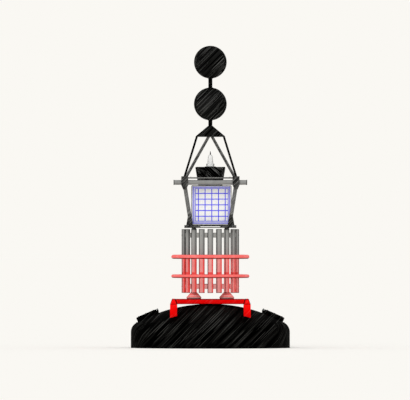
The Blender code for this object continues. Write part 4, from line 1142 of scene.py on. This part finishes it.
class BUOY_OT_posts(bpy.types.Operator):
    """Adds the four tower posts with their conical feet, and the collars that hold the ring rails' arms"""

    bl_idname = "buoy.posts"
    bl_label = "Tower Posts"

    def execute(self, context):
        sizes = context.scene.buoy_sizes
        collar_wall = 0.009
        collar_height = 0.06
        coat = "two tone post enamel"
        places = []
        for *_, name in corners():
            node = f"tower_post_{name}"
            foot_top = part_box(node)[0].z + sizes.foot_height
            post = respun(f"post_{name}", node, POST_STEPS, coat, sizes.edge, "pale_red_enamel")
            repainted(post, "banded red enamel", lambda face: face.center.z < foot_top)
            for label in ("upper", "lower"):
                point = middle(node)
                point.z = middle(f"ring_rail_{label}").z
                places.append((point, (0, 0, 1)))
        values = {
            "Radius": sizes.post_radius + collar_wall,
            "Height": collar_height,
            "Material": finish(coat),
        }
        collars = grown("arm_collars", collar_tree(), values, facing_points("arm_collars", places))
        delivered(bevelled(collars, sizes.fine_edge), "buoy", "pale_red_enamel")
        return {"FINISHED"}


class BUOY_OT_daymark(bpy.types.Operator):
    """Adds the daymark's slats and hoops, and the bolts that hold each slat"""

    bl_idname = "buoy.daymark"
    bl_label = "Daymark"

    def execute(self, context):
        sizes = context.scene.buoy_sizes
        low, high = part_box("daymark_front")
        cage_radius = -low.y
        half_hoop = sizes.hoop_height / 2
        # Share of a normal past which a face is a slat's side.
        side_share = 0.8
        # Each hoop's height and slot.
        hoop_rows = {
            "lower": (low.z + sizes.lower_hoop_rise + half_hoop, "pale_red_enamel"),
            "upper": (high.z - sizes.upper_hoop_drop + half_hoop, "grey_enamel"),
        }
        slats = {
            "Cage radius": cage_radius,
            "Slat width": sizes.slat_width,
            "Slat thickness": sizes.slat_thickness,
            "Slat height": high.z - low.z,
            "Pitch": SLAT_PITCH,
            "Slat count": SLATS_PER_QUARTER,
            "Material": finish("two tone slat enamel"),
        }
        hoops = {
            "Hoop radius": sizes.hoop_radius,
            "Hoop thickness": sizes.hoop_thickness,
            "Hoop height": sizes.hoop_height,
            "Material": finish("two tone hoop enamel"),
        }
        slat_pattern = slat_tree()
        hoop_pattern = hoop_tree()
        places = []
        for quarter, label in enumerate(QUARTER_NAMES):
            turn = Matrix.Rotation(QUARTER_TURN * quarter, 4, "Z")
            made = grown(f"slats_{label}", slat_pattern, slats)
            made.data.transform(turn @ Matrix.Translation((0, 0, low.z)))
            bevelled(made, sizes.fine_edge)
            middle_slat = turn @ Vector((0, -cage_radius, 0))

            # Painted shade: the side faces of each quarter's middle slat, seen edge-on at the cage's outline,
            # take the dark edge tone.
            def shaded_middle_side(face):
                level = Vector((face.center.x, face.center.y, 0))
                clockwise = Vector((level.y, -level.x, 0)).normalized()
                near = (level - middle_slat).length < sizes.slat_width
                return near and abs(face.normal.dot(clockwise)) > side_share

            repainted(made, "two tone edge enamel", shaded_middle_side)
            delivered(made, "buoy", "grey_enamel", f"daymark_{label}")
            for hoop_name, (height, slot) in hoop_rows.items():
                hoop = grown(f"hoop_{hoop_name}_{label}", hoop_pattern, hoops | {"Rise": height})
                hoop.data.transform(turn)
                bevelled(hoop, 1.5 * sizes.fine_edge, edging="two tone edge enamel")
                delivered(hoop, "buoy", slot)
                for index in range(SLATS_PER_QUARTER):
                    angle = SLAT_PITCH * (index - (SLATS_PER_QUARTER - 1) / 2)
                    outward = turn @ Vector((math.sin(angle), -math.cos(angle), 0))
                    places.append((outward * cage_radius + Vector((0, 0, height)), outward))
        bolts("slat_bolts", places, sizes.screw_radius, "two tone slat enamel", "grey_enamel")
        return {"FINISHED"}


class BUOY_OT_ring_rails(bpy.types.Operator):
    """Adds the two ring rails with their arms"""

    bl_idname = "buoy.ring_rails"
    bl_label = "Ring Rails"

    def execute(self, context):
        sizes = context.scene.buoy_sizes
        tree = ring_tree()
        post = middle("tower_post_front_left")
        reach = math.hypot(post.x, post.y) + sizes.post_radius
        for label, tube in (("upper", sizes.ring_tube_upper), ("lower", sizes.ring_tube_lower)):
            node = f"ring_rail_{label}"
            values = {
                "Ring radius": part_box(node)[1].x - tube,
                "Tube radius": tube,
                "Arm reach": reach,
                "Arm width": sizes.arm_width,
                "Arm height": sizes.arm_height,
                "Material": finish("faded red enamel"),
            }
            made = grown(f"guard_ring_{label}", tree, values)
            made.data.transform(Matrix.Translation((0, 0, middle(node).z)))
            delivered(made, "buoy", "pale_red_enamel", node)
        return {"FINISHED"}


class BUOY_OT_platform(bpy.types.Operator):
    """Adds the platform and the leaning legs with their gussets and foot bolts"""

    bl_idname = "buoy.platform"
    bl_label = "Platform and Legs"

    def execute(self, context):
        sizes = context.scene.buoy_sizes
        refined("platform_deck", "platform", "brushed dark grey enamel", sizes.fine_edge, "grey_enamel")
        # How far the two bolts at each leg's foot are from the axis, each way in turn.
        near_bolt = 0.42
        far_bolt = 0.46
        places = []
        for end, side, name in corners():
            node = f"upper_leg_{name}"
            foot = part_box(node)[0].z
            gusset_top = foot + sizes.gusset_height
            leg = refined(
                f"stage_leg_{name}", node, "brushed grey enamel", sizes.fine_edge, "grey_enamel",
                "worn dark primer",
            )
            scored(leg, gusset_top)
            repainted(leg, "brushed dark grey enamel", lambda face: face.center.z < gusset_top)
            for across, along in ((far_bolt, near_bolt), (near_bolt, far_bolt)):
                places.append(((side * across, end * along, foot), (0, 0, 1)))
        bolts("leg_bolts", places, sizes.small_bolt_radius)
        return {"FINISHED"}


class BUOY_OT_rail_stage(bpy.types.Operator):
    """Adds the corner brackets, rail tubes and ties, with the brackets' bolts"""

    bl_idname = "buoy.rail_stage"
    bl_label = "Brackets and Rail Tubes"

    def execute(self, context):
        sizes = context.scene.buoy_sizes
        # A little over the plugs' thickness, so that all their faces are rubber.
        plug_share = 1.01
        for label in END_NAMES.values():
            node = f"rail_tube_{label}"
            centre = middle(node)
            axis = Matrix.Translation((0, centre.y, centre.z)) @ Matrix.Rotation(QUARTER_TURN, 4, "Y")
            tube = respun(
                f"stage_tube_{label}", node, POST_STEPS, "tube enamel", sizes.fine_edge, "grey_enamel", axis
            )
            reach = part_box(node)[1].x - sizes.tube_cap * plug_share
            repainted(tube, "moulded rubber", lambda face: abs(face.center.x) > reach)
        grey = "brushed dark grey enamel"
        bolt_across = 0.038
        bolt_rise = 0.075
        places = []
        for end, _, name in corners():
            node = f"corner_bracket_{name}"
            refined(f"bracket_{name}", node, grey, sizes.edge, "dark_grey_enamel", "worn dark primer")
            centre = middle(node)
            centre.z = middle(f"rail_tube_{END_NAMES[end]}").z
            places += four_bolts(node, end, centre, bolt_across, bolt_rise)
        bolts("bracket_bolts", places, sizes.small_bolt_radius, grey, "dark_grey_enamel")
        for label in SIDE_NAMES.values():
            refined(f"stage_tie_{label}", f"tie_tube_{label}", "tube enamel", sizes.fine_edge, "grey_enamel")
        return {"FINISHED"}


class BUOY_OT_panels(bpy.types.Operator):
    """Adds the solar panels: channel, bezel, sheet, printed band, cells, and stiffeners and a box behind"""

    bl_idname = "buoy.panels"
    bl_label = "Solar Panels"

    def execute(self, context):
        sizes = context.scene.buoy_sizes
        tree = cell_tree()
        step = 0.6 * MILLIMETRE
        channel = sizes.frame_width * 0.45
        insets = (0, channel, sizes.frame_width, sizes.frame_width + sizes.band_width)
        sheet_back = 0.01
        stiffener_width, stiffener_depth = 0.04, 0.018
        stiffener_offset = 0.2
        stiffener_short = 0.06
        box_width, box_height, box_depth = 0.12, 0.09, 0.032
        box_rise = 0.18
        for end, label in END_NAMES.items():
            node = f"solar_panel_{label}"
            low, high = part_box(node)
            half_width, half_depth, half_height = (high - low) / 2
            turn = Matrix.Rotation(0 if end < 0 else math.pi, 4, "Z")
            spot = Matrix.Translation(middle(node)) @ turn
            outlines = []
            for inset in insets:
                corner = max(sizes.frame_corner - inset, sizes.fine_edge)
                outlines.append(rounded_outline(half_width - inset, half_height - inset, corner))
            depths = (-half_depth, half_depth)
            name = f"panel_channel_{label}"
            edging = surround(name, outlines[:2], depths, "brushed strut enamel", spot)
            delivered(bevelled(edging, sizes.fine_edge), "buoy", "dark_grey_enamel", node)
            depths = (MILLIMETRE - half_depth, half_depth - MILLIMETRE)
            bezel = surround(f"panel_bezel_{label}", outlines[1:3], depths, "anodised aluminium", spot)
            delivered(bevelled(bezel, MILLIMETRE), "buoy", "solar_laminate")
            face = sizes.sheet_depth - half_depth
            depths = (face, half_depth - sheet_back)
            sheet = plate(f"panel_sheet_{label}", outlines[2], depths, "panel border", spot)
            delivered(sheet, "buoy", "solar_laminate")
            depths = (face - step, face + step)
            band = surround(f"panel_band_{label}", outlines[2:], depths, "panel band", spot)
            delivered(band, "buoy", "solar_laminate")
            field = spot @ Matrix.Translation((sizes.cell_field_shift, 0, sizes.cell_field_shift))
            width = sizes.cell_field_width
            height = sizes.cell_field_height
            outline = rounded_outline(width / 2, height / 2, 2 * MILLIMETRE)
            depths = (face - 2 * step, face + step)
            lines = plate(f"panel_lines_{label}", outline, depths, "cell line", field)
            delivered(lines, "buoy", "solar_laminate")
            values = {
                "Width": width,
                "Height": height,
                "Column pitch": sizes.cell_column,
                "Row pitch": sizes.cell_row,
                "Gap": sizes.cell_gap,
                "Thickness": 2 * step,
                "Columns": CELL_COLUMNS,
                "Rows": CELL_ROWS,
                "Material": finish("solar cell"),
            }
            cells = grown(f"panel_cells_{label}", tree, values)
            cells.data.transform(field @ Matrix.Translation((0, face - 2 * step, 0)))
            delivered(bevelled(cells, 0.3 * MILLIMETRE, 1), "buoy", "solar_laminate")
            back = half_depth + stiffener_depth / 2
            places = [(spot @ Vector((side * stiffener_offset, back, 0)), (0, -end, 0)) for side in SIDES]
            stiffener = (stiffener_width, 2 * half_height - stiffener_short, stiffener_depth)
            blocks(
                f"panel_stiffeners_{label}", places, stiffener, "anodised aluminium", "galvanised_steel",
                sizes.fine_edge,
            )
            places = [(spot @ Vector((0, half_depth + box_depth / 2, box_rise)), (0, -end, 0))]
            box = (box_width, box_height, box_depth)
            blocks(f"panel_box_{label}", places, box, "moulded rubber", "dark_grey_enamel", sizes.edge)
        return {"FINISHED"}


class BUOY_OT_lantern(bpy.types.Operator):
    """Adds the lantern plate, housing, lens base and lens, with their bolts and clips"""

    bl_idname = "buoy.lantern"
    bl_label = "Lantern"

    def execute(self, context):
        sizes = context.scene.buoy_sizes
        grey = "brushed grey enamel"
        refined("stage_plate", "lantern_plate", grey, sizes.fine_edge, "grey_enamel", "worn dark primer")
        shelf_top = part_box("lantern_plate")[1].z
        bolt_across = 0.37
        bolt_along = 0.41
        places = [
            ((side * bolt_across, end * bolt_along, shelf_top), (0, 0, 1)) for end in SIDES for side in SIDES
        ]
        bolts("plate_bolts", places, sizes.small_bolt_radius)
        black = "cross brushed black enamel"
        respun("lantern_case", "lantern_housing", WIDE_STEPS, black, sizes.edge, "black_enamel")
        rim_radius, rim_height = max(meridian("lantern_housing", UPRIGHT))
        screw_count = 8
        screw_inset = 0.045
        places = round_axis(screw_count, rim_radius - screw_inset, rim_height, (0, 0, 1))
        bolts("case_bolts", places, sizes.screw_radius, black, "black_enamel")
        acrylic = "frosted acrylic"
        refined("lens_seat", "lens_base", acrylic, sizes.fine_edge, "clear_acrylic")
        width = sizes.fine_edge / 2
        lens = respun("lantern_globe", "lantern_lens", PIPE_STEPS, acrylic, width, "clear_acrylic")
        foot, top = (point.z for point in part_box("lantern_lens"))
        crown = foot + sizes.lens_crown
        repainted(lens, "moulded rubber", lambda face: face.center.z > crown)
        radius = max(meridian("lantern_lens", UPRIGHT))[0]
        clip_out = 0.003
        clip_rise = 0.018
        places = [((side * (radius + clip_out), 0, foot + clip_rise), (side, 0, 0)) for side in SIDES]
        clip = (0.036, 0.03, 0.024)
        blocks("lens_clips", places, clip, "moulded rubber", "dark_grey_enamel", sizes.fine_edge)
        cone_foot, cone_waist, cone_tip = 0.015, 0.011, 0.0065
        cone_sunk = 0.012
        waist_rise = 0.01
        tip_drop = 0.004
        cone = [(0, crown - cone_sunk), (cone_foot, crown - cone_sunk), (cone_waist, crown + waist_rise)]
        cone += [(cone_tip, top - cone_sunk), (0, top - tip_drop)]
        spun("bird_spike", cone, FINE_STEPS, "moulded rubber", "dark_grey_enamel")
        return {"FINISHED"}


class BUOY_OT_topmark(bpy.types.Operator):
    """Adds the topmark's bars, cap, mast and balls"""

    bl_idname = "buoy.topmark"
    bl_label = "Topmark"

    def execute(self, context):
        sizes = context.scene.buoy_sizes
        black = "brushed black enamel"
        fine_black = "fine brushed black enamel"
        # The rear bars take the grey strut enamel as painted light, a lit copy of the front bars' black.
        coats = {-1: (black, "black_enamel"), 1: ("brushed strut enamel", "grey_enamel")}
        for end, _, name in corners():
            strut(f"strut_{name}", f"topmark_bar_{name}", *coats[end])
        refined("cap_casting", "topmark_cap", fine_black, sizes.edge, "black_enamel")
        respun("mast_tube", "topmark_mast", MAST_STEPS, black, sizes.fine_edge, "black_enamel")
        mast_radius = max(meridian("topmark_mast", Matrix.Translation((middle("topmark_mast").x, 0, 0))))[0]
        arc_steps = 48
        for label in ("lower", "upper"):
            node = f"topmark_ball_{label}"
            low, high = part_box(node)
            radius = (high.x - low.x) / 2
            centre = high.z - radius if label == "upper" else (low.z + high.z) / 2
            turns = (math.pi * step / arc_steps for step in range(arc_steps + 1))
            profile = [(radius * math.sin(turn), centre + radius * math.cos(turn)) for turn in turns]
            spun(f"ball_{label}", profile, WIDE_STEPS, fine_black, "black_enamel", node)
            # The mast ends in the upper ball, so that ball has no weld on top.
            ends = {"foot": -1} if label == "upper" else {"foot": -1, "top": 1}
            for end, direction in ends.items():
                height = centre + direction * math.sqrt(radius**2 - mast_radius**2)
                name = f"mast_weld_{label}_{end}"
                bead(name, mast_radius, height, sizes.weld_width, MAST_STEPS, black)
        return {"FINISHED"}


class BUOY_OT_stage(bpy.types.Operator):
    """Adds the pale floor at the waterline, the soft light and the level camera"""

    bl_idname = "buoy.stage"
    bl_label = "Stage"

    def execute(self, context):
        colours = context.scene.buoy_colours
        scene = context.scene
        scene.view_settings.view_transform = "Standard"

        floor_reach = 400
        shape = bmesh.new()
        bmesh.ops.create_grid(shape, x_segments=1, y_segments=1, size=floor_reach)
        floor = bpy.data.objects.new("floor", bpy.data.meshes.new("floor"))
        shape.to_mesh(floor.data)
        shape.free()
        scene.collection.objects.link(floor)
        # Matt painted board: one even tone, with no shine.
        material = bpy.data.materials.new("matt board")
        material.use_nodes = True
        tree = material.node_tree
        tree.nodes.clear()
        matt = place(tree, "ShaderNodeBsdfDiffuse", {"Color": solid(colours.floor)})
        place(tree, "ShaderNodeOutputMaterial", {"Surface": matt})
        floor.data.materials.append(material)

        world = bpy.data.worlds.new("soft studio")
        scene.world = world
        world.use_nodes = True
        tree = world.node_tree
        tree.nodes.clear()
        path = place(tree, "ShaderNodeLightPath").outputs
        seen = {0: path["Is Camera Ray"], 1: path["Is Glossy Ray"]}
        direct = place(tree, "ShaderNodeMath", seen, operation="MAXIMUM")
        through = {0: direct, 1: path["Is Transmission Ray"]}
        shown = place(tree, "ShaderNodeMath", through, operation="MAXIMUM")
        # Sky and sun together light the level floor at exactly 1, so that it meets the sky without a line.
        ambient = 0.865
        levels = {"Value": shown, "To Min": ambient, "To Max": 1.0}
        strength = place(tree, "ShaderNodeMapRange", levels)
        tones = {0: shown, 6: (1, 1, 1, 1), 7: solid(colours.floor)}
        colour = place(tree, "ShaderNodeMix", tones, data_type="RGBA").outputs[2]
        sky = place(tree, "ShaderNodeBackground", {"Color": colour, "Strength": strength})
        place(tree, "ShaderNodeOutputWorld", {"Surface": sky})

        sun = bpy.data.lights.new("soft sun", "SUN")
        sun.energy = 0.6
        sun.angle = math.radians(30)
        lamp = bpy.data.objects.new("soft sun", sun)
        lamp.rotation_euler = (math.radians(45), 0, math.radians(-20))
        scene.collection.objects.link(lamp)

        view = bpy.data.cameras.new("level view")
        view.lens = 1200
        view.sensor_width = 36
        view.clip_start = 1
        view.clip_end = 1000
        camera = bpy.data.objects.new("level view", view)
        camera.location = (-0.101, -257.9, 2.789)
        camera.rotation_euler = (QUARTER_TURN, 0, 0)
        scene.collection.objects.link(camera)
        scene.camera = camera
        return {"FINISHED"}


class BUOY_OT_materials(bpy.types.Operator):
    """Makes the buoy's finishes"""

    bl_idname = "buoy.materials"
    bl_label = "Finishes"

    def execute(self, context):
        sizes = context.scene.buoy_sizes
        colours = context.scene.buoy_colours
        make_brushed_enamels(sizes, colours)
        switch = middle("ring_rail_upper").z
        # Two-tone paint of the cage: satin, with the tones of its hoops and posts, and painted shade and dark
        # lines along its edges.
        foot, top = (corner.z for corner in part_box("daymark_front"))
        make_slat_enamel(colours, switch, foot, top, middle("ring_rail_lower").z + sizes.ring_tube_lower)
        two_tone("two tone hoop enamel", colours.hoop_grey, colours.pale_red_light, switch)
        two_tone("two tone post enamel", colours.grey_deep, colours.pale_red, switch)
        two_tone("two tone edge enamel", colours.grey_edge, colours.red_edge, switch)
        make_ring_enamel(colours)
        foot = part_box("tower_post_front_left")[0].z
        make_foot_enamel(foot, foot + sizes.foot_height)
        make_plain_finishes(colours)
        make_acrylic(colours)
        return {"FINISHED"}


OPERATORS = (
    BUOY_OT_materials,
    BUOY_OT_float,
    BUOY_OT_pockets,
    BUOY_OT_base_frame,
    BUOY_OT_posts,
    BUOY_OT_daymark,
    BUOY_OT_ring_rails,
    BUOY_OT_platform,
    BUOY_OT_rail_stage,
    BUOY_OT_panels,
    BUOY_OT_lantern,
    BUOY_OT_topmark,
    BUOY_OT_stage,
)


class BUOY_PT_parts(bpy.types.Panel):
    """Lists the buoy's pieces, sizes and colours"""

    bl_idname = "BUOY_PT_parts"
    bl_label = "Navigation Buoy"
    bl_space_type = "VIEW_3D"
    bl_region_type = "UI"
    bl_category = "Buoy"

    def draw(self, context):
        for operator in OPERATORS:
            self.layout.operator(operator.bl_idname)
        for group in (context.scene.buoy_sizes, context.scene.buoy_colours):
            column = self.layout.column()
            for name in group.bl_rna.properties.keys():
                if name not in ("rna_type", "name"):
                    column.prop(group, name)


CLASSES = (BuoySizes, BuoyColours, *OPERATORS, BUOY_PT_parts)


def register():
    for entry in CLASSES:
        bpy.utils.register_class(entry)
    bpy.types.Scene.buoy_sizes = bpy.props.PointerProperty(type=BuoySizes)
    bpy.types.Scene.buoy_colours = bpy.props.PointerProperty(type=BuoyColours)


def unregister():
    del bpy.types.Scene.buoy_colours
    del bpy.types.Scene.buoy_sizes
    for entry in reversed(CLASSES):
        bpy.utils.unregister_class(entry)


def main():
    register()
    for operator in OPERATORS:
        group, name = operator.bl_idname.split(".")
        getattr(getattr(bpy.ops, group), name)()


if __name__ == "__main__":
    main()
